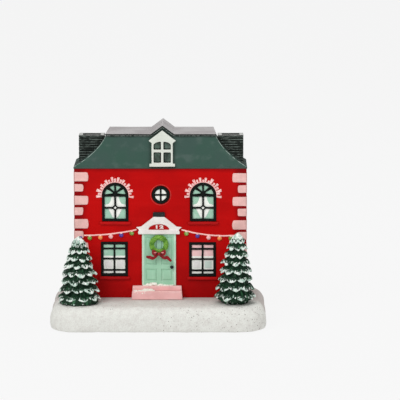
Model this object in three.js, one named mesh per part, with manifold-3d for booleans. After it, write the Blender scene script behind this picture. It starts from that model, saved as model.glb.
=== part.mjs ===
// Christmas town house that burns incense cones. The hollow house lifts straight up off a snowy
// base, the cone smoulders on a metal dish inside, and the smoke leaves by the two chimneys.
// Millimetres, +Z up. The front faces -Y and +X is to the right of someone who faces the door.
// The origin is under the middle of the base, on the surface that it stands on.
import * as THREE from 'three';
import { mergeVertices } from 'three/addons/utils/BufferGeometryUtils.js';
import Module from 'manifold-3d';

// House shell
const WALL_WIDTH = 86.2;
const WALL_DEPTH = 28;
const WALL_HEIGHT = 65.4;
const WALL_THICKNESS = 3;

// Snowy base: how far it reaches past the house on each side, and its section
const LEFT_YARD = 11.9;
const RIGHT_YARD = 9.9;
const FRONT_YARD = 29;
const BACK_YARD = 11;
const BASE_HEIGHT = 12.6;
const BASE_CORNER = 14;
const DRIFT_SHOULDER = 5.6;
const DRIFT_SHOULDER_HEIGHT = 7.5;
const DRIFT_ROLL = 1.2;
const DRIFT_WAVE = 0.6;
const PLINTH_HEIGHT = 2;
const PLINTH_CORNER = 1.5;

// Felt sheet let into the underside
const FELT_THICKNESS = 1;
const FELT_PROUD = 0.2;
const FELT_INSET = 5.5;

// Clearances: a piece that lifts out, and a piece glued into its pocket
const LIFT_CLEARANCE = 0.3;
const POCKET_CLEARANCE = 0.1;

// Metal dish for the cone
const DISH_RADIUS = 9.4;
const DISH_FOOT_RADIUS = 7.4;
const DISH_HEIGHT = 3.4;
const DISH_WALL = 0.8;
const DISH_RECESS = 1;

// Air hole in the foot of the back wall
const VENT_WIDTH = 14;
const VENT_SPRING = 4;

// Roof: a deck between concave side slopes, with a cross gable over the dormer
const ROOF_HEIGHT = 17.55;
const EAVE_BAND = 0.9;
const EAVE_PROUD = 0.25;
const DECK_TO_CHIMNEY = 1;
const DECK_BACK_TAPER = 1.3;
const SLOPE_POWER = 2;
const SLOPE_STRAIGHT_SHARE = 0.4;
const CAPPING_THICKNESS = 0.8;
const CAPPING_OVERHANG = 0.3;
const GABLE_X = 1.1;
const GABLE_HALF_WIDTH = 5.87;
const GABLE_RISE = 4.35;
const ROOF_CAVITY_HALF_WIDTH = 24;
const ROOF_SHELL = 2.6;

// Chimneys
const CHIMNEY_SPACING = 69.8;
const CHIMNEY_SHIFT = 0.3;
const CHIMNEY_WIDTH = 12.8;
const CHIMNEY_DEPTH = 9.6;
const CHIMNEY_SEAT = 1.2;
const CHIMNEY_HEIGHT = 14.5;
const CHIMNEY_WALL = 2;
const CHIMNEY_RIM = 1;
const CHIMNEY_COURSES = 6;
const BRICK_LENGTH = 4.3;
const MORTAR = 0.4;
const MORTAR_DEPTH = 0.25;

// Dormer on the front of the roof, heights above the eaves
const DORMER_X = 1;
const DORMER_PROUD = 1.6;
const DORMER_HALF_WIDTH = 5.3;
const DORMER_SILL_HALF = 6.4;
const DORMER_SILL_BOTTOM = 1.3;
const DORMER_SILL_THICKNESS = 1.4;
const DORMER_BODY_TOP = 13.1;
const DORMER_EAVE_HALF = 6.8;
const DORMER_EAVE_RISE = 1.1;
const DORMER_PEAK = 19.4;
const DORMER_STILE = 1;
const DORMER_MULLION = 1.2;
const DORMER_RAIL = 9.15;
const DORMER_RAIL_THICKNESS = 1.4;
const DORMER_PANE_SPRING = 12.3;
const DORMER_PANE_CROWN = 1.5;
const DORMER_PANE_THICKNESS = 0.4;

// Windows: panes lie on the floor of a wall pocket and the glazing bars lie on the panes
const POCKET_DEPTH = 0.9;
const PANE_THICKNESS = 0.4;
const FRAME_THICKNESS = 1;
const FRAME_BORDER = 1.1;
const BAR_WIDTH = 0.7;
const ARCHED_LEFT_X = -22.6;
const ARCHED_RIGHT_X = 21.35;
const ARCHED_HALF_WIDTH = 6.45;
const ARCHED_BOTTOM = 39;
const ARCHED_BELOW_EAVES = 7.15;
const ARCHED_LOWER_BAR = 6.7;
const FAN_HUB_RISE = 1;
const FAN_HUB_RADIUS = 0.9;
const FAN_SPOKE_ANGLE = 43;
const DIAMOND_HALF = 1.6;
const DIAMOND_BAR = 0.65;
const LOWER_LEFT_X = -23.1;
const LOWER_RIGHT_X = 21.1;
const LOWER_WIDTH = 13.2;
const LOWER_HEIGHT = 17.25;
const LOWER_BELOW_LIGHTS = 0.75;
const LOWER_RIGHT_DROP = 0.2;
const LOWER_BARS = [3.25, 8.8, 14.8];
const ROUND_X = 0.2;
const ROUND_LOWER_SHARE = 0.32;
const ROUND_RADIUS = 4.5;
const ROUND_BORDER = 1.5;
const SILL_WIDTH = 15.4;
const SILL_HEIGHT = 1.5;
const SILL_PROUD = 1.1;

// Brick arch over each arched window
const ARCH_BRICKS = 17;
const ARCH_START_ANGLE = -8;
const ARCH_BAND = 0.45;
const ARCH_SHORT = 1.7;
const ARCH_LONG = 3;
const ARCH_GAP = 0.2;
const ARCH_PROUD = 0.5;
const BRICK_SHARE = 0.62;

// Corner blocks up the two front corners, counted from the foot of the wall
const QUOIN_PITCH = 5.945;
const QUOIN_FIRST_TOP = 4.35;
const QUOIN_EAVES_GAP = 1.2;
const QUOIN_LONG = 7.1;
const QUOIN_SHORT = 4.6;
const QUOIN_LONG_HEIGHT = 4.8;
const QUOIN_SHORT_HEIGHT = 4;
const QUOIN_PROUD = 0.4;
const QUOIN_SIDE_PROUD = 0.2;
const QUOIN_CORNER = 0.45;
const QUOIN_RIGHT_DROP = 0.6;

// Front door, its knob, wreath and bow
const STEP_RISE_LOWER = 4.2;
const STEP_RISE_UPPER = 2.1;
const STEP_TREAD = 3;
const LANDING_DEPTH = 2.8;
const STEPS_X = -1.7;
const STEPS_WIDTH = 24.5;
const DOOR_X = -0.75;
const DOOR_WIDTH = 17;
const DOOR_HEIGHT = 26.2;
const DOOR_PROUD = 0.9;
const DOOR_PANEL_RECESS = 0.3;
const DOOR_STILE = 1.9;
const DOOR_MULLION = 2.4;
const DOOR_BOTTOM_RAIL = 2.6;
const DOOR_LOCK_RAIL = 2.4;
const DOOR_LOWER_PANEL = 5.8;
const DOOR_TOP_RAIL = 1.5;
const KNOB_RADIUS = 0.9;
const KNOB_FROM_EDGE = 2.05;
const KNOB_HEIGHT = 9.6;
const WREATH_BELOW_HEAD = 5.1;
const WREATH_RADIUS = 3.75;
const WREATH_TUBE = 1.35;
const WREATH_FLAT_SHARE = 0.72;
const WREATH_LEAVES = 18;
const WREATH_SWELL = 0.08;
const BOW_BELOW_RING = 0.75;
const BOW_THICKNESS = 0.7;
const BOW_LOOP = 3.5;
const BOW_TAIL = 6.2;
const BOW_RIBBON = 1.4;
const BOW_KNOT = 1;

// Broken-slope pediment over the door, its number panel and its cresting
const PEDIMENT_HEIGHT = 8.65;
const PEDIMENT_HALF_WIDTH = 11.45;
const PEDIMENT_TOP_HALF = 2.7;
const PEDIMENT_SLOPE_HALF = 8.9;
const PEDIMENT_NECK_HALF = 9.9;
const PEDIMENT_FILLET_HALF = 10.5;
const PEDIMENT_CORNICE = 3.7;
const PEDIMENT_PROUD = 1.5;
const CORNICE_PROUD = 2.1;
const TYMPANUM_HALF_WIDTH = 5.3;
const TYMPANUM_HEIGHT = 2.9;
const TYMPANUM_BASE = 2.1;
const TYMPANUM_RECESS = 0.6;
const TYMPANUM_THICKNESS = 0.3;
const CRESTING_WIDTH = 6;
const CRESTING_HEIGHT = 2.4;
const CRESTING_PROUD = 1.2;
const CRESTING_STUD = 0.4;

// Strings of lights from the pediment to the corner blocks
const CORD_WIDTH = 0.8;
const CORD_PROUD = 0.5;
const BULB_RADIUS = 1.15;
const BULB_PROUD = 1.2;
const BULB_DROP = 1.7;
const BULBS = 5;
const FIRST_BULB_SHARE = 0.09;
const BULB_SPAN_SHARE = 0.8;
const CORD_START_LAP = 0.2;
const CORD_BELOW_CORNICE = 1.7;
const LEFT_CORD_SAG = 3;
const RIGHT_CORD_SAG = 4;
const CORD_END_BLOCK_INDEX = 5;
const CORD_BELOW_BLOCK = 2.375;

// Trees
const LEFT_TREE_HEIGHT = 33.6;
const LEFT_TREE_RADIUS = 11;
const LEFT_TREE_FOOT = 8.4;
const LEFT_TREE_LOWEST_TIP = 1.9;
const LEFT_TREE_INBOARD = 2.85;
const RIGHT_TREE_HEIGHT = 35.4;
const RIGHT_TREE_RADIUS = 10.5;
const RIGHT_TREE_FOOT = 5.3;
const RIGHT_TREE_LOWEST_TIP = 2.8;
const RIGHT_TREE_INBOARD = 5.85;
const TREE_TO_WALL = 2.2;
const TREE_TIERS = 8;
const TREE_BOUGHS = 8;
const TREE_CAP = 4.8;
const TREE_TOP_SHARE = 0.36;
const TREE_SPREAD_POWER = 0.8;
const TREE_SPACING_POWER = 1.12;

// Worked-out places. The house is drawn in its own frame: x from the middle of the front, y back
// from the face of the front wall and z up from the foot of the wall.
const BASE_HALF_WIDTH = (WALL_WIDTH + LEFT_YARD + RIGHT_YARD) / 2;
const BASE_HALF_DEPTH = (WALL_DEPTH + FRONT_YARD + BACK_YARD) / 2;
const HOUSE_X = (LEFT_YARD - RIGHT_YARD) / 2;
const HOUSE_Y = FRONT_YARD - BASE_HALF_DEPTH;
const HALF_WALL = WALL_WIDTH / 2;
const MID_DEPTH = WALL_DEPTH / 2;
const CHIMNEY_XS = [CHIMNEY_SHIFT - CHIMNEY_SPACING / 2, CHIMNEY_SHIFT + CHIMNEY_SPACING / 2];
const CHIMNEY_FOOT = WALL_HEIGHT + CHIMNEY_SEAT;
const DECK_LEFT = CHIMNEY_XS[0] + CHIMNEY_WIDTH / 2 + DECK_TO_CHIMNEY;
const DECK_RIGHT = CHIMNEY_XS[1] - CHIMNEY_WIDTH / 2 - DECK_TO_CHIMNEY;
const DECK_Z = WALL_HEIGHT + ROOF_HEIGHT;
const GABLE_SLOPE = GABLE_RISE / GABLE_HALF_WIDTH;
const CAPPING_RISE = CAPPING_THICKNESS * Math.hypot(1, GABLE_SLOPE);
const FRAME_BACK = POCKET_DEPTH - PANE_THICKNESS;
const ARCHED_HEIGHT = WALL_HEIGHT - ARCHED_BELOW_EAVES - ARCHED_BOTTOM;
const QUOINS = 1 + Math.floor((WALL_HEIGHT - QUOIN_EAVES_GAP - QUOIN_FIRST_TOP) / QUOIN_PITCH);
const STEPS_HEIGHT = STEP_RISE_LOWER + STEP_RISE_UPPER;
const DOOR_TOP = STEPS_HEIGHT + DOOR_HEIGHT;
const PEDIMENT_BASE = DOOR_TOP + POCKET_CLEARANCE;
const CRESTING_TOP = PEDIMENT_BASE + PEDIMENT_HEIGHT + CRESTING_HEIGHT;
const ROUND_FREE_WALL = WALL_HEIGHT - CRESTING_TOP - 2 * ROUND_RADIUS;
const ROUND_Z = CRESTING_TOP + ROUND_RADIUS + ROUND_LOWER_SHARE * ROUND_FREE_WALL;
const DISH_FLOOR = BASE_HEIGHT + PLINTH_HEIGHT - DISH_RECESS;
const WREATH_Z = DOOR_TOP - WREATH_BELOW_HEAD;
const BOW_Z = WREATH_Z - WREATH_RADIUS - BOW_BELOW_RING;

// Paints and metals
const SNOW = { color: 0xe3e4df, roughness: 0.85, metalness: 0 };
const RED = { color: 0xbb1212, roughness: 0.42, metalness: 0 };
const ROOF_GREEN = { color: 0x435a54, roughness: 0.55, metalness: 0 };
const DECK_GREY = { color: 0xb0afad, roughness: 0.6, metalness: 0 };
const BRICK_BLACK = { color: 0x2b332e, roughness: 0.6, metalness: 0 };
const WHITE = { color: 0xe9e8e2, roughness: 0.5, metalness: 0 };
const BLACK = { color: 0x16180f, roughness: 0.45, metalness: 0 };
const DARK_GLASS = { color: 0x4c5c54, roughness: 0.35, metalness: 0 };
const MINT_GLASS = { color: 0x96c3aa, roughness: 0.4, metalness: 0 };
const PINK = { color: 0xf0bdb7, roughness: 0.55, metalness: 0 };
const STEP_PINK = { color: 0xe3b2ae, roughness: 0.55, metalness: 0 };
const DOOR_MINT = { color: 0x9ac3a8, roughness: 0.45, metalness: 0 };
const WREATH_GREEN = { color: 0x70a358, roughness: 0.6, metalness: 0 };
const TREE_GREEN = { color: 0x19402c, roughness: 0.6, metalness: 0 };
const DARK_METAL = { color: 0x1c1c1a, roughness: 0.35, metalness: 0.6 };
const BRASS = { color: 0xb08d4c, roughness: 0.35, metalness: 1 };
const FELT = { color: 0x2f4a3a, roughness: 0.95, metalness: 0 };

const wasm = await Module();
wasm.setup();

// Closed surface with shared vertices and outward faces, from any closed three.js geometry.
function closed(geometry) {
  const bare = new THREE.BufferGeometry();
  bare.setAttribute('position', geometry.getAttribute('position'));
  bare.setIndex(geometry.index);
  const merged = mergeVertices(bare, 1e-4);
  const at = merged.getAttribute('position');
  const corners = [0, 1, 2].map(() => new THREE.Vector3());
  const kept = [];
  let volume = 0;
  for (let i = 0; i < merged.index.count; i += 3) {
    const [a, b, c] = [0, 1, 2].map((k) => merged.index.getX(i + k));
    if (a === b || b === c || c === a) {
      continue;
    }
    kept.push([a, b, c]);
    [a, b, c].forEach((vertex, k) => corners[k].fromBufferAttribute(at, vertex));
    volume += corners[0].dot(corners[1].clone().cross(corners[2]));
  }
  const faces = volume < 0 ? kept.map(([a, b, c]) => [a, c, b]) : kept;
  merged.setIndex(faces.flat());
  return merged;
}

function solid(geometry) {
  const surface = closed(geometry);
  return new wasm.Manifold(new wasm.Mesh({
    numProp: 3,
    vertProperties: new Float32Array(surface.getAttribute('position').array),
    triVerts: new Uint32Array(surface.index.array),
  }));
}

function geometryOf(manifold) {
  const mesh = manifold.getMesh();
  const geometry = new THREE.BufferGeometry();
  geometry.setAttribute('position', new THREE.BufferAttribute(mesh.vertProperties, 3));
  geometry.setIndex(new THREE.BufferAttribute(mesh.triVerts, 1));
  return geometry;
}

function join(...geometries) {
  return geometryOf(geometries.map(solid).reduce((whole, piece) => whole.add(piece)));
}

function cut(geometry, ...tools) {
  return geometryOf(tools.map(solid).reduce((rest, tool) => rest.subtract(tool), solid(geometry)));
}

function common(geometry, limit) {
  return geometryOf(solid(geometry).intersect(solid(limit)));
}

// Box between two corners.
function block(low, high) {
  const [width, depth, height] = high.map((value, axis) => value - low[axis]);
  const geometry = new THREE.BoxGeometry(width, depth, height);
  geometry.translate(low[0] + width / 2, low[1] + depth / 2, low[2] + height / 2);
  return geometry;
}

// Flat shape drawn in x and z, standing forward from the plane y = back.
function relief(shape, back, thickness, curveSegments = 6) {
  const options = { depth: thickness, bevelEnabled: false, curveSegments };
  const geometry = new THREE.ExtrudeGeometry(shape, options);
  geometry.rotateX(Math.PI / 2);
  geometry.translate(0, back, 0);
  return geometry;
}

// Flat shape drawn in x and y, standing up from the plane z = bottom.
function slab(shape, bottom, thickness, curveSegments = 6) {
  const options = { depth: thickness, bevelEnabled: false, curveSegments };
  const geometry = new THREE.ExtrudeGeometry(shape, options);
  geometry.translate(0, 0, bottom);
  return geometry;
}

// Closed solid through rings of [x, y, z] points, all with as many points, anticlockwise seen from
// above. Each end closes on its own middle point.
function loft(rings, topPoint) {
  const count = rings[0].length;
  const points = rings.flat();
  const faces = [];
  for (let i = 0; i < count; i += 1) {
    const next = (i + 1) % count;
    for (let k = 0; k + 1 < rings.length; k += 1) {
      const [a, b] = [k * count + i, k * count + next];
      faces.push(a, b, b + count, a, b + count, a + count);
    }
    const top = (rings.length - 1) * count;
    faces.push(points.length, next, i);
    faces.push(points.length + 1, top + i, top + next);
  }
  const middle = (ring) => [0, 1, 2].map((axis) => ring.reduce((sum, p) => sum + p[axis], 0) / count);
  points.push(middle(rings[0]), topPoint ?? middle(rings.at(-1)));
  const geometry = new THREE.BufferGeometry();
  geometry.setAttribute('position', new THREE.Float32BufferAttribute(points.flat(), 3));
  geometry.setIndex(faces);
  return geometry;
}

function shapeOf(points) {
  return new THREE.Shape(points.map(([x, y]) => new THREE.Vector2(x, y)));
}

function rectangle(left, bottom, right, top) {
  return shapeOf([[left, bottom], [right, bottom], [right, top], [left, top]]);
}

function roundedRectangle(left, bottom, right, top, radius) {
  const quarter = Math.PI / 2;
  const shape = new THREE.Shape();
  shape.absarc(right - radius, bottom + radius, radius, -quarter, 0);
  shape.absarc(right - radius, top - radius, radius, 0, quarter);
  shape.absarc(left + radius, top - radius, radius, quarter, 2 * quarter);
  shape.absarc(left + radius, bottom + radius, radius, 2 * quarter, 3 * quarter);
  return shape;
}

// Opening with straight sides and a half-round head.
function archShape(x, bottom, halfWidth, height) {
  const shape = new THREE.Shape();
  shape.moveTo(x - halfWidth, bottom);
  shape.lineTo(x + halfWidth, bottom);
  shape.absarc(x, bottom + height - halfWidth, halfWidth, 0, Math.PI);
  return shape;
}

function circle(x, z, radius) {
  const shape = new THREE.Shape();
  shape.absarc(x, z, radius, 0, 2 * Math.PI);
  return shape;
}

// Straight bar in the x-z plane from one point to another.
function barShape([x0, z0], [x1, z1], width) {
  const length = Math.hypot(x1 - x0, z1 - z0);
  const across = [(-(z1 - z0) / length) * (width / 2), ((x1 - x0) / length) * (width / 2)];
  return shapeOf([
    [x0 - across[0], z0 - across[1]],
    [x1 - across[0], z1 - across[1]],
    [x1 + across[0], z1 + across[1]],
    [x0 + across[0], z0 + across[1]],
  ]);
}

// Ribbon of even width along a smooth line through [x, z] points.
function ribbonShape(points, width, steps) {
  const line = new THREE.SplineCurve(points.map(([x, z]) => new THREE.Vector2(x, z)));
  const left = [];
  const right = [];
  for (let i = 0; i <= steps; i += 1) {
    const at = line.getPoint(i / steps);
    const along = line.getTangent(i / steps);
    left.push([at.x - (along.y * width) / 2, at.y + (along.x * width) / 2]);
    right.unshift([at.x + (along.y * width) / 2, at.y - (along.x * width) / 2]);
  }
  return shapeOf([...right, ...left]);
}

// Round piece that stands forward from the plane y = back, from a profile of [radius, forward].
function turned(profile, x, back, z, segments) {
  const points = profile.map(([radius, forward]) => new THREE.Vector2(radius, forward));
  const geometry = new THREE.LatheGeometry(points, segments);
  geometry.rotateX(Math.PI);
  geometry.translate(x, back, z);
  return geometry;
}

const model = new THREE.Group();
const house = new THREE.Group();
house.position.set(HOUSE_X, HOUSE_Y, BASE_HEIGHT);
model.add(house);

function add(parent, name, geometry, finish) {
  const mesh = new THREE.Mesh(closed(geometry), new THREE.MeshStandardMaterial(finish));
  mesh.name = name;
  parent.add(mesh);
  return mesh;
}

// Outline of the base drawn in from its widest by inset, with hand-shaped waves along its sides
function driftOutline(inset) {
  const corner = BASE_CORNER - inset / 2;
  const arcSteps = 6;
  const sideSteps = 6;
  const points = [];
  const quarter = Math.PI / 2;
  const corners = [[1, -1], [1, 1], [-1, 1], [-1, -1]];
  const centres = corners.map(([sx, sy]) => [
    sx * (BASE_HALF_WIDTH - inset - corner),
    sy * (BASE_HALF_DEPTH - inset - corner),
  ]);
  corners.forEach((signs, k) => {
    const start = (k - 1) * quarter;
    for (let i = 0; i <= arcSteps; i += 1) {
      const angle = start + (quarter * i) / arcSteps;
      points.push([centres[k][0] + corner * Math.cos(angle), centres[k][1] + corner * Math.sin(angle)]);
    }
    const [fromX, fromY] = points.at(-1);
    const out = start + quarter;
    const far = centres[(k + 1) % 4];
    const [toX, toY] = [far[0] + corner * Math.cos(out), far[1] + corner * Math.sin(out)];
    for (let i = 1; i < sideSteps; i += 1) {
      const share = i / sideSteps;
      const wave = DRIFT_WAVE * Math.sin((2 + (k % 2)) * Math.PI * share) ** 2;
      points.push([
        fromX + (toX - fromX) * share - wave * Math.cos(out),
        fromY + (toY - fromY) * share - wave * Math.sin(out),
      ]);
    }
  });
  return points;
}

// Cast snow drift: rolled lower edge, full side, rounded shoulder and flat top
function snowBase() {
  const underside = FELT_PROUD;
  const widest = BASE_HEIGHT - DRIFT_SHOULDER_HEIGHT;
  const levels = [
    [underside, DRIFT_ROLL],
    [underside + DRIFT_ROLL / 2, DRIFT_ROLL / 4],
    [underside + 2 * DRIFT_ROLL, 0],
  ];
  const shoulderSteps = 5;
  for (let i = 0; i <= shoulderSteps; i += 1) {
    const turn = (Math.PI / 2) * (i / shoulderSteps);
    levels.push([
      widest + DRIFT_SHOULDER_HEIGHT * Math.sin(turn),
      DRIFT_SHOULDER * (1 - Math.cos(turn)),
    ]);
  }
  const drift = loft(levels.map(([z, inset]) => driftOutline(inset).map(([x, y]) => [x, y, z])));
  const halfX = HALF_WALL - WALL_THICKNESS - LIFT_CLEARANCE;
  const halfY = MID_DEPTH - WALL_THICKNESS - LIFT_CLEARANCE;
  const midY = HOUSE_Y + MID_DEPTH;
  const [left, right] = [HOUSE_X - halfX, HOUSE_X + halfX];
  const plinth = roundedRectangle(left, midY - halfY, right, midY + halfY, PLINTH_CORNER);
  const recessRadius = DISH_RADIUS + LIFT_CLEARANCE;
  const recess = new THREE.CylinderGeometry(recessRadius, recessRadius, 2 * DISH_RECESS, 24);
  recess.rotateX(Math.PI / 2);
  recess.translate(HOUSE_X, midY, DISH_FLOOR + DISH_RECESS);
  const feltPocket = slab(shapeOf(driftOutline(FELT_INSET - LIFT_CLEARANCE)), -1, FELT_THICKNESS + 1);
  return cut(join(drift, slab(plinth, BASE_HEIGHT - 1, PLINTH_HEIGHT + 1, 3)), recess, feltPocket);
}

function incenseDish() {
  const profile = [
    [0, 0],
    [DISH_FOOT_RADIUS, 0],
    [DISH_RADIUS - DISH_WALL, DISH_HEIGHT - DISH_WALL],
    [DISH_RADIUS, DISH_HEIGHT - DISH_WALL],
    [DISH_RADIUS, DISH_HEIGHT],
    [DISH_RADIUS - 2 * DISH_WALL, DISH_HEIGHT],
    [DISH_FOOT_RADIUS - DISH_WALL, DISH_WALL],
    [0, DISH_WALL],
  ];
  const geometry = new THREE.LatheGeometry(profile.map(([r, z]) => new THREE.Vector2(r, z)), 24);
  geometry.rotateX(Math.PI / 2);
  geometry.translate(HOUSE_X, HOUSE_Y + MID_DEPTH, DISH_FLOOR);
  return geometry;
}

// Fir tree of tiers of pointed, drooping boughs. Each tier is three rings of points: the shadowed
// inside, the edge of the boughs and the swell above it. Boughs of neighbouring tiers stand between
// each other.
function firTree(height, radius, footRadius, lowestTip) {
  const perBough = 4;
  const count = TREE_BOUGHS * perBough;
  const ring = (place) => Array.from({ length: count }, (_, i) => {
    const angle = (2 * Math.PI * i) / count;
    const [r, z] = place(i, angle);
    return [r * Math.cos(angle), r * Math.sin(angle), z];
  });
  const rings = [ring(() => [footRadius, 0]), ring(() => [footRadius, lowestTip * 0.6])];
  const tiersHeight = height - TREE_CAP - lowestTip;
  for (let tier = TREE_TIERS - 1; tier >= 0; tier -= 1) {
    const down = tier / (TREE_TIERS - 1);
    const reach = radius * (TREE_TOP_SHARE + (1 - TREE_TOP_SHARE) * down ** TREE_SPREAD_POWER);
    const tip = height - TREE_CAP - tiersHeight * down ** TREE_SPACING_POWER;
    const droop = 1 + 0.7 * down;
    const point = (i) => {
      const share = ((i + (tier % 2) * (perBough / 2)) % perBough) / perBough;
      return Math.abs(1 - 2 * share) ** 1.3;
    };
    const sway = (angle) => 1 + 0.035 * Math.sin(3 * angle + 1.7 * tier);
    const least = tier === TREE_TIERS - 1 ? footRadius : 0;
    const inner = Math.min(Math.max(0.52 * reach, least), 0.7 * reach);
    rings.push(ring((i, angle) => [inner * sway(angle), tip + 0.9 * droop]));
    rings.push(ring((i, angle) => [
      reach * (0.8 + 0.2 * point(i)) * sway(angle),
      tip + 0.2 + droop * (1 - point(i)),
    ]));
    rings.push(ring((i, angle) => [
      reach * (0.66 + 0.06 * point(i)) * sway(angle),
      tip + 0.9 + 1.15 * droop,
    ]));
  }
  rings.push(ring(() => [0.09 * radius, height - 1]));
  return loft(rings, [0, 0, height]);
}

function placeTree(name, x, geometry, radius) {
  const tree = add(model, name, geometry, TREE_GREEN);
  tree.position.set(x, HOUSE_Y - TREE_TO_WALL - radius, BASE_HEIGHT);
}

// Hollow walls with a pocket for each window and an air hole at the back
function houseWalls(pockets) {
  const shell = block([-HALF_WALL, 0, 0], [HALF_WALL, WALL_DEPTH, WALL_HEIGHT]);
  const hollow = block(
    [WALL_THICKNESS - HALF_WALL, WALL_THICKNESS, -1],
    [HALF_WALL - WALL_THICKNESS, WALL_DEPTH - WALL_THICKNESS, WALL_HEIGHT + 1],
  );
  const vent = archShape(0, -1, VENT_WIDTH / 2, VENT_SPRING + VENT_WIDTH / 2 + 1);
  const ventCut = relief(vent, WALL_DEPTH + 1, WALL_THICKNESS + 2);
  const pocketCuts = pockets.map((shape) => relief(shape, POCKET_DEPTH, POCKET_DEPTH + 1, 10));
  return cut(shell, hollow, ventCut, ...pocketCuts);
}

// Section of the roof at a height, its climb from 0 at the eave band to 1 at the deck. The side
// slopes sweep out at the eaves, run nearly straight higher up and close in towards the back.
function roofRing(z, climb, proud) {
  const swept = 1 - (1 - climb) ** SLOPE_POWER;
  const drawnIn = SLOPE_STRAIGHT_SHARE * climb + (1 - SLOPE_STRAIGHT_SHARE) * swept;
  const taper = DECK_BACK_TAPER * drawnIn;
  const left = -HALF_WALL + (HALF_WALL + DECK_LEFT) * drawnIn - proud;
  const right = HALF_WALL - (HALF_WALL - DECK_RIGHT) * drawnIn + proud;
  const [front, back] = [-proud, WALL_DEPTH + proud];
  return [[left, front, z], [right, front, z], [right - taper, back, z], [left + taper, back, z]];
}

function mansardRoof() {
  const top = DECK_Z - CAPPING_THICKNESS;
  const bandTop = WALL_HEIGHT + EAVE_BAND;
  const rings = [roofRing(WALL_HEIGHT, 0, EAVE_PROUD), roofRing(bandTop, 0, EAVE_PROUD)];
  const steps = 9;
  const slopeFoot = bandTop + EAVE_PROUD / 2;
  for (let i = 0; i <= steps; i += 1) {
    rings.push(roofRing(slopeFoot + (top - slopeFoot) * (i / steps), i / steps, 0));
  }
  const gablePeak = DECK_Z + GABLE_RISE - CAPPING_RISE;
  const gableHalf = (gablePeak - top) / GABLE_SLOPE;
  const footHalf = gableHalf + 1 / GABLE_SLOPE;
  const gable = shapeOf([
    [GABLE_X - footHalf, top - 1],
    [GABLE_X + footHalf, top - 1],
    [GABLE_X, gablePeak],
  ]);
  const cavity = block(
    [-ROOF_CAVITY_HALF_WIDTH, WALL_THICKNESS, WALL_HEIGHT - 1],
    [ROOF_CAVITY_HALF_WIDTH, WALL_DEPTH - WALL_THICKNESS, top - ROOF_SHELL],
  );
  const halfX = CHIMNEY_WIDTH / 2 + LIFT_CLEARANCE;
  const halfY = CHIMNEY_DEPTH / 2 + LIFT_CLEARANCE;
  const seats = CHIMNEY_XS.map((x) => block(
    [x - halfX, MID_DEPTH - halfY, CHIMNEY_FOOT],
    [x + halfX, MID_DEPTH + halfY, DECK_Z + 1],
  ));
  const flueX = CHIMNEY_WIDTH / 2 - CHIMNEY_WALL;
  const flueY = CHIMNEY_DEPTH / 2 - CHIMNEY_WALL;
  const flues = CHIMNEY_XS.map((x) => block(
    [x - flueX, MID_DEPTH - flueY, WALL_HEIGHT - 1],
    [x + flueX, MID_DEPTH + flueY, CHIMNEY_FOOT + 1],
  ));
  return cut(join(loft(rings), relief(gable, WALL_DEPTH, WALL_DEPTH)), cavity, ...seats, ...flues);
}

// Thin grey sheet over the deck, folded up over the gable
function deckCapping() {
  const foot = (CAPPING_RISE - CAPPING_THICKNESS) / GABLE_SLOPE;
  const [left, right] = [DECK_LEFT - CAPPING_OVERHANG, DECK_RIGHT + CAPPING_OVERHANG];
  const under = DECK_Z - CAPPING_THICKNESS;
  const outline = shapeOf([
    [left, under],
    [GABLE_X - GABLE_HALF_WIDTH + foot, under],
    [GABLE_X, DECK_Z + GABLE_RISE - CAPPING_RISE],
    [GABLE_X + GABLE_HALF_WIDTH - foot, under],
    [right, under],
    [right, DECK_Z],
    [GABLE_X + GABLE_HALF_WIDTH, DECK_Z],
    [GABLE_X, DECK_Z + GABLE_RISE],
    [GABLE_X - GABLE_HALF_WIDTH, DECK_Z],
    [left, DECK_Z],
  ]);
  const [front, back] = [-CAPPING_OVERHANG, WALL_DEPTH + CAPPING_OVERHANG];
  const plan = shapeOf([
    [left, front],
    [right, front],
    [right - DECK_BACK_TAPER, back],
    [left + DECK_BACK_TAPER, back],
  ]);
  return common(relief(outline, back, back - front), slab(plan, under - 1, GABLE_RISE + 3));
}

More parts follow.
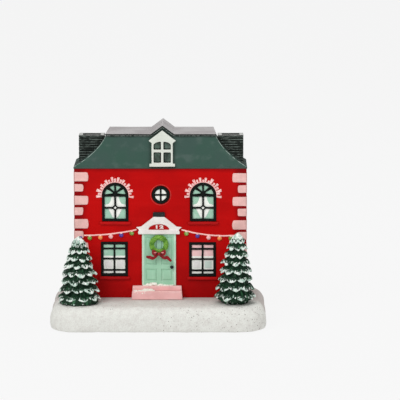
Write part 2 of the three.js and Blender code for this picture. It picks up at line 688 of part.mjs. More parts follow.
// Brick stack: courses with recessed joints, a plain rim and an open flue
function chimney(x) {
  const pitch = (CHIMNEY_HEIGHT - CHIMNEY_RIM) / CHIMNEY_COURSES;
  const ring = (z, inset) => {
    const [halfX, halfY] = [CHIMNEY_WIDTH / 2 - inset, CHIMNEY_DEPTH / 2 - inset];
    return [[-halfX, -halfY], [halfX, -halfY], [halfX, halfY], [-halfX, halfY]]
      .map(([dx, dy]) => [x + dx, MID_DEPTH + dy, z]);
  };
  const rings = [];
  const joints = [];
  for (let course = 0; course < CHIMNEY_COURSES; course += 1) {
    const z = CHIMNEY_FOOT + course * pitch;
    const bed = z + pitch - MORTAR;
    rings.push(ring(z, 0), ring(bed, 0), ring(bed, MORTAR_DEPTH), ring(z + pitch, MORTAR_DEPTH));
    [[CHIMNEY_WIDTH, 1, 0], [CHIMNEY_DEPTH, 0, 1]].forEach(([length, alongX, alongY]) => {
      const start = -length / 2 + BRICK_LENGTH * (course % 2 ? 0.5 : 1);
      for (let s = start; s < length / 2 - MORTAR; s += BRICK_LENGTH) {
        [-1, 1].forEach((side) => {
          const face = side * (alongX ? CHIMNEY_DEPTH : CHIMNEY_WIDTH) / 2;
          const [cx, cy] = [x + alongX * s + alongY * face, MID_DEPTH + alongY * s + alongX * face];
          const halfX = alongX ? MORTAR / 2 : MORTAR_DEPTH;
          const halfY = alongY ? MORTAR / 2 : MORTAR_DEPTH;
          joints.push(block([cx - halfX, cy - halfY, z], [cx + halfX, cy + halfY, bed]));
        });
      }
    });
  }
  const rimFoot = CHIMNEY_FOOT + CHIMNEY_HEIGHT - CHIMNEY_RIM;
  rings.push(ring(rimFoot, 0), ring(rimFoot + CHIMNEY_RIM, 0));
  const [flueX, flueY] = [CHIMNEY_WIDTH / 2 - CHIMNEY_WALL, CHIMNEY_DEPTH / 2 - CHIMNEY_WALL];
  const flue = block(
    [x - flueX, MID_DEPTH - flueY, CHIMNEY_FOOT - 1],
    [x + flueX, MID_DEPTH + flueY, DECK_Z + CHIMNEY_HEIGHT],
  );
  return cut(loft(rings), flue, ...joints);
}

// Dormer: one moulded front with a gabled head, four lights and a sill
function dormerPane(side) {
  const inner = DORMER_X + (side * DORMER_MULLION) / 2;
  const outer = DORMER_X + side * (DORMER_HALF_WIDTH - DORMER_STILE);
  const spring = WALL_HEIGHT + DORMER_PANE_SPRING;
  const rail = WALL_HEIGHT + DORMER_RAIL + DORMER_RAIL_THICKNESS / 2;
  const shape = new THREE.Shape();
  shape.moveTo(outer, rail);
  shape.lineTo(inner, rail);
  shape.lineTo(inner, spring + DORMER_PANE_CROWN);
  shape.quadraticCurveTo(outer - side, spring + DORMER_PANE_CROWN, outer, spring);
  return shape;
}

function dormerLights() {
  const bottom = WALL_HEIGHT + DORMER_SILL_BOTTOM + DORMER_SILL_THICKNESS + DORMER_STILE / 2;
  const rail = WALL_HEIGHT + DORMER_RAIL - DORMER_RAIL_THICKNESS / 2;
  return [-1, 1].flatMap((side) => {
    const near = DORMER_X + (side * DORMER_MULLION) / 2;
    const far = DORMER_X + side * (DORMER_HALF_WIDTH - DORMER_STILE);
    return [dormerPane(side), rectangle(Math.min(near, far), bottom, Math.max(near, far), rail)];
  });
}

function dormerPlateShape(grow) {
  const half = DORMER_HALF_WIDTH - DORMER_STILE / 2 + grow;
  const bottom = WALL_HEIGHT + DORMER_SILL_BOTTOM + DORMER_SILL_THICKNESS - grow;
  const top = WALL_HEIGHT + DORMER_PANE_SPRING + DORMER_PANE_CROWN + DORMER_STILE / 2 + grow;
  return rectangle(DORMER_X - half, bottom, DORMER_X + half, top);
}

function dormerFrame() {
  const [x, eaves] = [DORMER_X, WALL_HEIGHT];
  const sillTop = eaves + DORMER_SILL_BOTTOM + DORMER_SILL_THICKNESS;
  const body = eaves + DORMER_BODY_TOP;
  const front = shapeOf([
    [x - DORMER_HALF_WIDTH, sillTop - DORMER_SILL_THICKNESS / 2],
    [x + DORMER_HALF_WIDTH, sillTop - DORMER_SILL_THICKNESS / 2],
    [x + DORMER_HALF_WIDTH, body],
    [x + DORMER_EAVE_HALF, body + DORMER_EAVE_RISE],
    [x, eaves + DORMER_PEAK],
    [x - DORMER_EAVE_HALF, body + DORMER_EAVE_RISE],
    [x - DORMER_HALF_WIDTH, body],
  ]);
  const sill = block(
    [x - DORMER_SILL_HALF, -DORMER_PROUD - EAVE_PROUD, sillTop - DORMER_SILL_THICKNESS],
    [x + DORMER_SILL_HALF, 0, sillTop],
  );
  const lights = dormerLights().map((shape) => relief(shape, 1, DORMER_PROUD + 2, 4));
  const plateRoom = relief(dormerPlateShape(POCKET_CLEARANCE), 1, DORMER_PANE_THICKNESS + 1);
  return cut(join(relief(front, 0, DORMER_PROUD), sill), ...lights, plateRoom);
}

function dormerPanes() {
  return relief(dormerPlateShape(0), 0, DORMER_PANE_THICKNESS);
}

// Window frame: a border round the opening, with bars across it that stop at the border
function glazedFrame(outline, opening, bars) {
  const thickness = FRAME_THICKNESS;
  const border = cut(
    relief(outline, FRAME_BACK, thickness, 10),
    relief(opening, FRAME_BACK + 1, thickness + 2, 10),
  );
  const grid = join(...bars.map((bar) => relief(bar, FRAME_BACK, thickness, 6)));
  return join(border, common(grid, relief(outline, FRAME_BACK, thickness, 10)));
}

function diamondShape(x, z, half) {
  return shapeOf([[x - half, z], [x, z - half], [x + half, z], [x, z + half]]);
}

// Arched window: fan light on a transom above four lights with a lozenge at the crossing
function archedFrame(x) {
  const outline = archShape(x, ARCHED_BOTTOM, ARCHED_HALF_WIDTH, ARCHED_HEIGHT);
  const opening = archShape(
    x,
    ARCHED_BOTTOM + FRAME_BORDER,
    ARCHED_HALF_WIDTH - FRAME_BORDER,
    ARCHED_HEIGHT - 2 * FRAME_BORDER,
  );
  const transom = ARCHED_BOTTOM + ARCHED_HEIGHT - ARCHED_HALF_WIDTH;
  const hub = [x, transom + FAN_HUB_RISE];
  const crossing = [x, ARCHED_BOTTOM + ARCHED_LOWER_BAR];
  const reach = ARCHED_HALF_WIDTH;
  const spoke = (degrees) => {
    const angle = THREE.MathUtils.degToRad(degrees);
    return [hub[0] + reach * Math.cos(angle), hub[1] + reach * Math.sin(angle)];
  };
  const bars = [
    barShape([x - reach, transom], [x + reach, transom], BAR_WIDTH),
    barShape([x - reach, crossing[1]], [x + reach, crossing[1]], BAR_WIDTH),
    barShape([x, ARCHED_BOTTOM], hub, BAR_WIDTH),
    ...[FAN_SPOKE_ANGLE, 90, 180 - FAN_SPOKE_ANGLE].map((angle) => barShape(hub, spoke(angle), BAR_WIDTH)),
    circle(hub[0], hub[1], FAN_HUB_RADIUS),
    diamondShape(crossing[0], crossing[1], DIAMOND_HALF),
  ];
  const lozenge = diamondShape(crossing[0], crossing[1], DIAMOND_HALF - DIAMOND_BAR);
  return cut(glazedFrame(outline, opening, bars), relief(lozenge, FRAME_BACK + 1, FRAME_THICKNESS + 2));
}

function lowerFrame(x, top) {
  const half = LOWER_WIDTH / 2;
  const outline = rectangle(x - half, top - LOWER_HEIGHT, x + half, top);
  const opening = rectangle(
    x - half + FRAME_BORDER,
    top - LOWER_HEIGHT + FRAME_BORDER,
    x + half - FRAME_BORDER,
    top - FRAME_BORDER,
  );
  const bars = [
    barShape([x, top - LOWER_HEIGHT], [x, top], BAR_WIDTH),
    ...LOWER_BARS.map((down) => barShape([x - half, top - down], [x + half, top - down], BAR_WIDTH)),
  ];
  return glazedFrame(outline, opening, bars);
}

function roundFrame() {
  const [x, z, r] = [ROUND_X, ROUND_Z, ROUND_RADIUS];
  const bars = [barShape([x - r, z], [x + r, z], BAR_WIDTH), barShape([x, z - r], [x, z + r], BAR_WIDTH)];
  return glazedFrame(circle(x, z, r), circle(x, z, r - ROUND_BORDER), bars);
}

function paneOf(shape) {
  return relief(shape, POCKET_DEPTH, PANE_THICKNESS, 10);
}

function sill(x, top) {
  const [half, corner] = [SILL_WIDTH / 2, SILL_HEIGHT / 4];
  return relief(roundedRectangle(x - half, top - SILL_HEIGHT, x + half, top, corner), 0, SILL_PROUD, 2);
}

// Arch of rubbed bricks, long and short by turns, on the narrow band that their inner ends form
function brickArch(x) {
  const spring = ARCHED_BOTTOM + ARCHED_HEIGHT - ARCHED_HALF_WIDTH;
  const inner = ARCHED_HALF_WIDTH + ARCH_GAP;
  const pitch = (180 - 2 * ARCH_START_ANGLE) / ARCH_BRICKS;
  const joint = (pitch * (1 - BRICK_SHARE)) / 2;
  const at = (radius, degrees) => {
    const angle = THREE.MathUtils.degToRad(degrees);
    return [x + radius * Math.cos(angle), spring + radius * Math.sin(angle)];
  };
  const outerEdge = [];
  const innerEdge = [];
  for (let brick = 0; brick < ARCH_BRICKS; brick += 1) {
    const from = ARCH_START_ANGLE + pitch * brick + joint;
    const to = from + pitch - 2 * joint;
    const tip = inner + (brick % 2 ? ARCH_SHORT : ARCH_LONG);
    outerEdge.push(at(inner + ARCH_BAND, from), at(tip, from), at(tip, to), at(inner + ARCH_BAND, to));
    innerEdge.unshift(at(inner, to), at(inner, from));
  }
  return relief(shapeOf([...outerEdge, ...innerEdge]), 0, ARCH_PROUD);
}

// Corner block that wraps from the front on to the side wall
function quoin(side, index) {
  const long = index % 2 === 0;
  const top = QUOIN_FIRST_TOP + index * QUOIN_PITCH - (side > 0 ? QUOIN_RIGHT_DROP : 0);
  const height = Math.min(long ? QUOIN_LONG_HEIGHT : QUOIN_SHORT_HEIGHT, top);
  const [frontReach, sideReach] = long ? [QUOIN_LONG, QUOIN_SHORT] : [QUOIN_SHORT, QUOIN_LONG];
  const outline = [
    [0, 0],
    [frontReach, 0],
    [frontReach, QUOIN_PROUD - QUOIN_CORNER / 3],
    [frontReach - QUOIN_CORNER / 3, QUOIN_PROUD],
    [-QUOIN_SIDE_PROUD, QUOIN_PROUD],
    [-QUOIN_SIDE_PROUD, -sideReach],
    [0, -sideReach],
  ].map(([inboard, forward]) => [side * (HALF_WALL - inboard), -forward]);
  return slab(shapeOf(outline), top - height, height);
}

function frontSteps() {
  const [left, right] = [STEPS_X - STEPS_WIDTH / 2, STEPS_X + STEPS_WIDTH / 2];
  const lower = block([left, -LANDING_DEPTH - STEP_TREAD, 0], [right, 0, STEP_RISE_LOWER]);
  const upper = block([left, -LANDING_DEPTH, 0], [right, 0, STEPS_HEIGHT]);
  return join(lower, upper);
}

function frontDoor() {
  const [left, right] = [DOOR_X - DOOR_WIDTH / 2, DOOR_X + DOOR_WIDTH / 2];
  const slabFront = relief(rectangle(left, STEPS_HEIGHT, right, DOOR_TOP), 0, DOOR_PROUD);
  const lowerBottom = STEPS_HEIGHT + DOOR_BOTTOM_RAIL;
  const lowerTop = lowerBottom + DOOR_LOWER_PANEL;
  const panels = [[lowerBottom, lowerTop], [lowerTop + DOOR_LOCK_RAIL, DOOR_TOP - DOOR_TOP_RAIL]];
  const recesses = panels.flatMap(([bottom, top]) => [
    rectangle(left + DOOR_STILE, bottom, DOOR_X - DOOR_MULLION / 2, top),
    rectangle(DOOR_X + DOOR_MULLION / 2, bottom, right - DOOR_STILE, top),
  ]);
  return cut(slabFront, ...recesses.map((shape) => relief(shape, DOOR_PANEL_RECESS - DOOR_PROUD, 1)));
}

function doorKnob() {
  const r = KNOB_RADIUS;
  const profile = [[0, 0], [0.7 * r, 0], [0.55 * r, 0.5 * r], [r, 1.1 * r], [0.85 * r, 1.7 * r], [0, 2 * r]];
  const x = DOOR_X + DOOR_WIDTH / 2 - KNOB_FROM_EDGE;
  return turned(profile, x, -DOOR_PROUD, STEPS_HEIGHT + KNOB_HEIGHT, 12);
}

// Wreath of leaves: a flattened ring whose section swells and thins round it
const WREATH_HALF_THICKNESS = WREATH_TUBE * WREATH_FLAT_SHARE * (1 + WREATH_SWELL);
const WREATH_FRONT = DOOR_PROUD + POCKET_CLEARANCE + 2 * WREATH_HALF_THICKNESS;

function doorWreath() {
  const geometry = new THREE.TorusGeometry(WREATH_RADIUS, WREATH_TUBE, 8, 2 * WREATH_LEAVES);
  const at = geometry.getAttribute('position');
  for (let i = 0; i < at.count; i += 1) {
    const angle = Math.atan2(at.getY(i), at.getX(i));
    const swell = 1 + WREATH_SWELL * Math.cos(WREATH_LEAVES * angle);
    const [cx, cy] = [WREATH_RADIUS * Math.cos(angle), WREATH_RADIUS * Math.sin(angle)];
    at.setXYZ(
      i,
      cx + (at.getX(i) - cx) * swell,
      cy + (at.getY(i) - cy) * swell,
      at.getZ(i) * swell * WREATH_FLAT_SHARE,
    );
  }
  geometry.rotateX(Math.PI / 2);
  geometry.translate(DOOR_X, -WREATH_FRONT + WREATH_HALF_THICKNESS, WREATH_Z);
  return geometry;
}

// Ribbon bow: a loop each side of a knot and two tails. Loops are drawn in shares of BOW_LOOP and
// tails in shares of BOW_TAIL.
function wreathBow() {
  const back = -WREATH_FRONT - POCKET_CLEARANCE;
  const loops = [-1, 1].map((side) => {
    const at = (across, up) => [side * across * BOW_LOOP, up * BOW_LOOP];
    const loop = new THREE.Shape();
    loop.moveTo(...at(0, -0.11));
    loop.bezierCurveTo(...at(0.46, -0.34), ...at(0.95, -0.18), ...at(1, 0.24));
    loop.bezierCurveTo(...at(1.02, 0.66), ...at(0.5, 0.6), ...at(0, 0.11));
    return relief(loop, back, BOW_THICKNESS, 6);
  });
  const tails = [
    [[0, 0], [-0.35, -0.2], [-0.65, -0.35], [-1, -0.24]],
    [[0, 0], [0.35, -0.23], [0.68, -0.31], [0.98, -0.6]],
  ].map((line) => line.map(([across, up]) => [across * BOW_TAIL, up * BOW_TAIL]))
    .map((line) => relief(ribbonShape(line, BOW_RIBBON, 8), back, BOW_THICKNESS));
  const profile = [[0, 0], [1, 0], [0.9, 0.8], [0.5, 1.15], [0, 1.2]]
    .map(([radius, forward]) => [radius * BOW_KNOT, forward * BOW_KNOT]);
  const bow = join(...loops, ...tails, turned(profile, 0, back, 0, 10));
  bow.translate(DOOR_X, 0, BOW_Z);
  return bow;
}

// Pediment: cornice with upturned ends under concave slopes that rise to a flat top
function pedimentShape() {
  const [x, z] = [DOOR_X, PEDIMENT_BASE];
  const tip = z + PEDIMENT_CORNICE;
  const edge = [
    [PEDIMENT_FILLET_HALF - 0.2, z],
    [PEDIMENT_FILLET_HALF, z + 1.1],
    [PEDIMENT_NECK_HALF, z + 2],
    [PEDIMENT_HALF_WIDTH, tip - 0.3],
    [PEDIMENT_SLOPE_HALF, tip],
  ];
  const shape = new THREE.Shape();
  shape.moveTo(x - edge[0][0], z);
  edge.forEach(([half, height]) => shape.lineTo(x + half, height));
  const [top, bend] = [z + PEDIMENT_HEIGHT, (PEDIMENT_SLOPE_HALF + PEDIMENT_TOP_HALF) / 2];
  shape.quadraticCurveTo(x + bend + 0.6, tip + 2, x + PEDIMENT_TOP_HALF, top);
  shape.lineTo(x - PEDIMENT_TOP_HALF, top);
  shape.quadraticCurveTo(x - bend - 0.6, tip + 2, x - PEDIMENT_SLOPE_HALF, tip);
  edge.slice(1, -1).reverse().forEach(([half, height]) => shape.lineTo(x - half, height));
  return shape;
}

function tympanumShape(gap) {
  const shape = new THREE.Shape();
  const base = PEDIMENT_BASE + TYMPANUM_BASE + gap;
  shape.absellipse(DOOR_X, base, TYMPANUM_HALF_WIDTH - gap, TYMPANUM_HEIGHT - 2 * gap, 0, Math.PI);
  return shape;
}

function entryPediment() {
  const field = relief(pedimentShape(), 0, PEDIMENT_PROUD, 8);
  const strip = rectangle(
    DOOR_X - PEDIMENT_HALF_WIDTH,
    PEDIMENT_BASE,
    DOOR_X + PEDIMENT_HALF_WIDTH,
    PEDIMENT_BASE + TYMPANUM_BASE,
  );
  const cornice = common(relief(pedimentShape(), 0, CORNICE_PROUD, 8), relief(strip, 1, CORNICE_PROUD + 2));
  const recess = relief(tympanumShape(0), TYMPANUM_RECESS - PEDIMENT_PROUD, 1, 10);
  return cut(join(field, cornice), recess);
}

function numberPanel() {
  return relief(tympanumShape(POCKET_CLEARANCE), TYMPANUM_RECESS - PEDIMENT_PROUD, TYMPANUM_THICKNESS, 10);
}

function pedimentCresting() {
  const bottom = PEDIMENT_BASE + PEDIMENT_HEIGHT;
  const half = CRESTING_WIDTH / 2;
  const plate = relief(
    roundedRectangle(DOOR_X - half, bottom, DOOR_X + half, bottom + CRESTING_HEIGHT, CRESTING_HEIGHT / 6),
    0,
    CRESTING_PROUD,
    2,
  );
  const r = CRESTING_STUD;
  const studs = [-1, 0, 1].map((place) => turned(
    [[0, 0], [r, 0], [r, CRESTING_PROUD], [0.6 * r, CRESTING_PROUD + 0.8 * r], [0, CRESTING_PROUD + r]],
    DOOR_X + (place * half) / 1.6,
    0,
    bottom + CRESTING_HEIGHT / 2,
    8,
  ));
  return join(plate, ...studs);
}

// String of lights cast on the wall: a half-round cord in a slack curve, with a bulb and its cap
// hanging at even steps along it. It ends beside a short corner block.
function cordLine(side) {
  const start = DOOR_X + side * (PEDIMENT_HALF_WIDTH - CORD_START_LAP);
  const end = side * (HALF_WALL - QUOIN_SHORT - 2 * POCKET_CLEARANCE);
  const high = PEDIMENT_BASE + PEDIMENT_CORNICE - CORD_BELOW_CORNICE;
  const low = QUOIN_FIRST_TOP + CORD_END_BLOCK_INDEX * QUOIN_PITCH - CORD_BELOW_BLOCK;
  return new THREE.QuadraticBezierCurve3(
    new THREE.Vector3(start, 0, high),
    new THREE.Vector3((start + end) / 2, 0, high - (side > 0 ? RIGHT_CORD_SAG : LEFT_CORD_SAG)),
    new THREE.Vector3(end, 0, low),
  );
}

function bulbHangers(side) {
  const line = cordLine(side);
  return Array.from({ length: BULBS }, (_, i) => (
    line.getPoint(FIRST_BULB_SHARE + (BULB_SPAN_SHARE * i) / (BULBS - 1))
  ));
}

function lightString(side) {
  const section = new THREE.Shape();
  section.absellipse(0, 0, CORD_PROUD, CORD_WIDTH / 2, -Math.PI / 2, Math.PI / 2);
  const path = { steps: 12, curveSegments: 4, extrudePath: cordLine(side) };
  const profile = [[0, 0], [1, 0], [0.94, 0.45], [0.6, 0.85], [0, 1]]
    .map(([radius, forward]) => [radius * BULB_RADIUS, forward * BULB_PROUD]);
  const hung = bulbHangers(side).flatMap(({ x, z }) => [
    turned(profile, x, 0, z - BULB_DROP, 8),
    relief(rectangle(x - CORD_WIDTH / 2, z - BULB_DROP, x + CORD_WIDTH / 2, z), 0, 1.2 * CORD_PROUD),
  ]);
  return join(new THREE.ExtrudeGeometry(section, path), ...hung);
}

// Head of a lower window, just under the lowest bulb that hangs over it
function lowerWindowTop(side, x) {
  const reach = LOWER_WIDTH / 2 + BULB_RADIUS;
  const above = bulbHangers(side).filter((bulb) => Math.abs(bulb.x - x) < reach);
  return Math.min(...above.map((bulb) => bulb.z)) - BULB_DROP - BULB_RADIUS - LOWER_BELOW_LIGHTS;
}

// Base and what stands on it
add(model, 'snow_base', snowBase(), SNOW);
add(model, 'felt_sheet', slab(shapeOf(driftOutline(FELT_INSET)), 0, FELT_THICKNESS), FELT);
add(model, 'incense_dish', incenseDish(), BRASS);
placeTree(
  'tree_left',
  HOUSE_X - HALF_WALL + LEFT_TREE_INBOARD,
  firTree(LEFT_TREE_HEIGHT, LEFT_TREE_RADIUS, LEFT_TREE_FOOT, LEFT_TREE_LOWEST_TIP),
  LEFT_TREE_RADIUS,
);
placeTree(
  'tree_right',
  HOUSE_X + HALF_WALL - RIGHT_TREE_INBOARD,
  firTree(RIGHT_TREE_HEIGHT, RIGHT_TREE_RADIUS, RIGHT_TREE_FOOT, RIGHT_TREE_LOWEST_TIP),
  RIGHT_TREE_RADIUS,
);

// Shell, roof and chimneys
const grown = POCKET_CLEARANCE;
const sides = [
  { side: 'left', sign: -1, archedX: ARCHED_LEFT_X, lowerX: LOWER_LEFT_X, drop: 0 },
  { side: 'right', sign: 1, archedX: ARCHED_RIGHT_X, lowerX: LOWER_RIGHT_X, drop: LOWER_RIGHT_DROP },
].map((half) => ({ ...half, lowerTop: lowerWindowTop(half.sign, half.lowerX) - half.drop }));
const archedOutline = (x, grow) => archShape(
  x,
  ARCHED_BOTTOM - grow,
  ARCHED_HALF_WIDTH + grow,
  ARCHED_HEIGHT + 2 * grow,
);
const lowerOutline = (x, top, grow) => rectangle(
  x - LOWER_WIDTH / 2 - grow,
  top - LOWER_HEIGHT - grow,
  x + LOWER_WIDTH / 2 + grow,
  top + grow,
);
const pockets = sides.flatMap(({ archedX, lowerX, lowerTop }) => [
  archedOutline(archedX, grown),
  lowerOutline(lowerX, lowerTop, grown),
]);
add(house, 'house_walls', houseWalls([...pockets, circle(ROUND_X, ROUND_Z, ROUND_RADIUS + grown)]), RED);
add(house, 'mansard_roof', mansardRoof(), ROOF_GREEN);
add(house, 'deck_capping', deckCapping(), DECK_GREY);
add(house, 'dormer_frame', dormerFrame(), WHITE);
add(house, 'dormer_panes', dormerPanes(), DARK_GLASS);

sides.forEach(({ side, sign, archedX, lowerX, lowerTop }, k) => {
  add(house, `chimney_${side}`, chimney(CHIMNEY_XS[k]), BRICK_BLACK);
  add(house, `arched_window_frame_${side}`, archedFrame(archedX), BLACK);
  add(house, `arched_window_panes_${side}`, paneOf(archedOutline(archedX, 0)), MINT_GLASS);
  add(house, `brick_arch_${side}`, brickArch(archedX), PINK);
  add(house, `arched_window_sill_${side}`, sill(archedX, ARCHED_BOTTOM - 2 * grown), RED);
  add(house, `lower_window_frame_${side}`, lowerFrame(lowerX, lowerTop), BLACK);
  add(house, `lower_window_panes_${side}`, paneOf(lowerOutline(lowerX, lowerTop, 0)), MINT_GLASS);
  add(house, `lower_window_sill_${side}`, sill(lowerX, lowerTop - LOWER_HEIGHT - 2 * grown), RED);
  add(house, `light_string_${side}`, lightString(sign), PINK);
});
add(house, 'round_window_frame', roundFrame(), BLACK);
add(house, 'round_window_panes', paneOf(circle(ROUND_X, ROUND_Z, ROUND_RADIUS)), WHITE);

// Entrance
add(house, 'front_steps', frontSteps(), STEP_PINK);
add(house, 'front_door', frontDoor(), DOOR_MINT);
add(house, 'door_knob', doorKnob(), DARK_METAL);
add(house, 'door_wreath', doorWreath(), WREATH_GREEN);
add(house, 'wreath_bow', wreathBow(), RED);
add(house, 'entry_pediment', entryPediment(), WHITE);
add(house, 'number_panel', numberPanel(), RED);
add(house, 'pediment_cresting', pedimentCresting(), BLACK);

// Corner blocks
sides.forEach(({ side, sign }) => {
  for (let index = 0; index < QUOINS; index += 1) {
    add(house, `quoin_${side}_${index + 1}`, quoin(sign, index), PINK);
  }
});

export default model;
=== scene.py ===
"""Christmas town house that burns incense cones: painted, snowed-on and dressed around its CAD frame.

Sizes inside the builders are in millimetres. The front faces -Y, and the origin is under the middle
of the base, on the surface that it stands on.
"""

import math
import random

import bmesh
import bpy
from bpy.props import FloatProperty, FloatVectorProperty, IntProperty
from mathutils import Matrix, Vector, noise


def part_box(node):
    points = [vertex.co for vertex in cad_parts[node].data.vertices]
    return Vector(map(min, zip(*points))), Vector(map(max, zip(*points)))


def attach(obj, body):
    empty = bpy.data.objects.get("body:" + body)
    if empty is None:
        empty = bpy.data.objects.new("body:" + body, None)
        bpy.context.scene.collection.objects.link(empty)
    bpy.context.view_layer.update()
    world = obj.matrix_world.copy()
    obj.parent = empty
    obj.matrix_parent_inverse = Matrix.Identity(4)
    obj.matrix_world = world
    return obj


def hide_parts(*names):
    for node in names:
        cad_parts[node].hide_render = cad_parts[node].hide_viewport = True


bl_info = {
    "name": "Christmas Incense House",
    "version": (1, 0, 0),
    "blender": (4, 5, 0),
    "location": "3D View > Sidebar > Incense House",
    "description": "Paints and dresses a christmas house incense burner around its CAD frame",
    "category": "Add Mesh",
}

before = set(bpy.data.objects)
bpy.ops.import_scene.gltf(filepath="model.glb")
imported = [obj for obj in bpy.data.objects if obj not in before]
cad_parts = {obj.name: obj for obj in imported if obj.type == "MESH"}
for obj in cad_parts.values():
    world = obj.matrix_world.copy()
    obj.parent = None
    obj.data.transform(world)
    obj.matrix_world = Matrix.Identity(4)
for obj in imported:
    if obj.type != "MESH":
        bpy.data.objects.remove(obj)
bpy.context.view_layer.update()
MM = 0.001
NOISE_SEED = 5


def corners(node):
    """Lowest and highest corner of a CAD node, in millimetres."""
    low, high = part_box(node)
    return low / MM, high / MM


WALL_LOW, WALL_HIGH = corners("house_walls")
HOUSE_X = (WALL_LOW.x + WALL_HIGH.x) / 2
HALF_WALL = (WALL_HIGH.x - WALL_LOW.x) / 2
FRONT = WALL_LOW.y
FOOT = WALL_LOW.z
EAVES = WALL_HIGH.z
WALL_THICKNESS = 3.0
HOUSE_Y = (WALL_LOW.y + WALL_HIGH.y) / 2
DORMER_LOW, DORMER_HIGH = corners("dormer_frame")
DORMER_X = (DORMER_LOW.x + DORMER_HIGH.x) / 2
DECK_LOW = corners("deck_capping")[0].z
SIDES = (("left", -1), ("right", 1))


def linear(red, green, blue):
    """Display colour from 0 to 255 as the light values that shaders use, with full alpha."""
    shares = [value / 255 for value in (red, green, blue)]
    curved = [v / 12.92 if v <= 0.04045 else ((v + 0.055) / 1.055) ** 2.4 for v in shares]
    return (*curved, 1.0)


def paint(label, text, red, green, blue):
    """Colour property, given as it looks on a display."""
    return FloatVectorProperty(
        name=label, description=text, subtype="COLOR", size=4, min=0.0, max=1.0,
        default=linear(red, green, blue),
    )


def length(label, text, millimetres, most):
    """Length property, given in millimetres."""
    return FloatProperty(
        name=label, description=text, unit="LENGTH", subtype="DISTANCE",
        min=0.0, max=most * MM, default=millimetres * MM,
    )


class HousePaints(bpy.types.PropertyGroup):
    """Colours of the painted finishes"""

    wall_red: paint("Wall Red", "Satin red of the walls", 186, 9, 9)
    # Wall Shade: painted shade in corners, low down and under the eaves, and the deep tone of the brushed red
    wall_deep: paint("Wall Shade", "Deeper red in corners and low down", 122, 4, 8)
    roof_green: paint("Roof Green", "Grey green of the roof front", 60, 83, 76)
    # Roof Shade: painted shade on the roof and in its corners, and the darkest green of the slopes and the
    # capping's edge
    roof_deep: paint("Roof Shade", "Darkest green on the roof and in its corners", 33, 44, 40)
    # pale grey of the painted highlight on the roof's front edges and of the dry-brushed strokes on its
    # slopes
    roof_highlight_and_dry_brush: paint("Roof Highlight and Dry Brush", "Pale grey of the painted highlight on the roof's edges and of its dry brush", 176, 190, 182)
    # Deck Grey: the capping's top, a painted reflection of the bright surroundings
    deck_grey: paint("Deck Grey", "Light grey of the roof deck", 174, 171, 171)
    brick_black: paint("Chimney Black", "Green black of the chimney bricks", 26, 31, 28)
    trim_white: paint("Trim White", "Off-white of the dormer and the pediment", 212, 216, 207)
    line_black: paint("Frame Black", "Black of the window frames", 9, 13, 10)
    glass_mint: paint("Mint Glass", "Pale green of the painted panes", 160, 201, 178)
    curtain_cream: paint("Curtain Cream", "Off-white of curtains and low panes", 244, 245, 238)
    glass_pink: paint("Pink Glass", "Pink of the lower right panes", 240, 196, 196)
    glass_grey: paint("Grey Glass", "Warm grey in the middle panes", 228, 225, 223)
    glass_pale: paint("Pale Glass", "Palest green of the lower right panes", 204, 220, 210)
    block_pink: paint("Block Pink", "Salmon pink of corner blocks and brick arches", 230, 182, 177)
    step_pink: paint("Step Pink", "Pink of the front steps", 240, 187, 185)
    door_mint: paint("Door Mint", "Mint green of the front door", 160, 206, 176)
    wreath_green: paint("Wreath Green", "Fresh green of the wreath", 114, 164, 62)
    ribbon_red: paint("Ribbon Red", "Crimson of the bow", 134, 10, 20)
    tree_dark: paint("Tree Dark", "Darkest green of the firs", 14, 34, 24)
    tree_mid: paint("Tree Green", "Brushed green of the firs", 58, 108, 74)
    tree_snow: paint("Tree Snow", "Mint white of the snow on the firs", 232, 238, 232)
    snow_white: paint("Snow White", "White of the snowy base", 222, 223, 217)
    # Snow Shade: painted shadow on the snow near the house, and the darker tone of its grains
    snow_shade: paint("Snow Shade", "Grey of the painted shadow on the snow near the house", 184, 176, 172)
    brass: paint("Brass", "Metal of the cone dish", 186, 146, 78)
    felt: paint("Felt", "Dark green felt under the base", 44, 72, 56)


class HouseSizes(bpy.types.PropertyGroup):
    """Sizes of what the casting and the brush leave behind"""

    edge_round: length("Edge Rounding", "Radius on the edges of cast pieces", 0.16, 0.4)
    hand_sway: length("Hand Sway", "How far painted and cast lines wander", 0.09, 0.3)
    snow_grain: length("Snow Grain", "Size of a grain of the snowy coat", 0.55, 2.0)
    snow_dents: length("Snow Dents", "Depth of the dents in the snow", 0.3, 0.5)
    tree_boughs: IntProperty(
        name="Boughs", description="Boughs round each tier of a fir", default=9, min=6, max=14
    )
    wreath_leaves: IntProperty(
        name="Leaves", description="Leaves in each row of the wreath", default=30, min=12, max=60
    )


def house_paints():
    """The colours set in the scene."""
    return bpy.context.scene.house_paints


def house_sizes():
    """The sizes set in the scene."""
    return bpy.context.scene.house_sizes


# Node sheets, shared effects and finishes


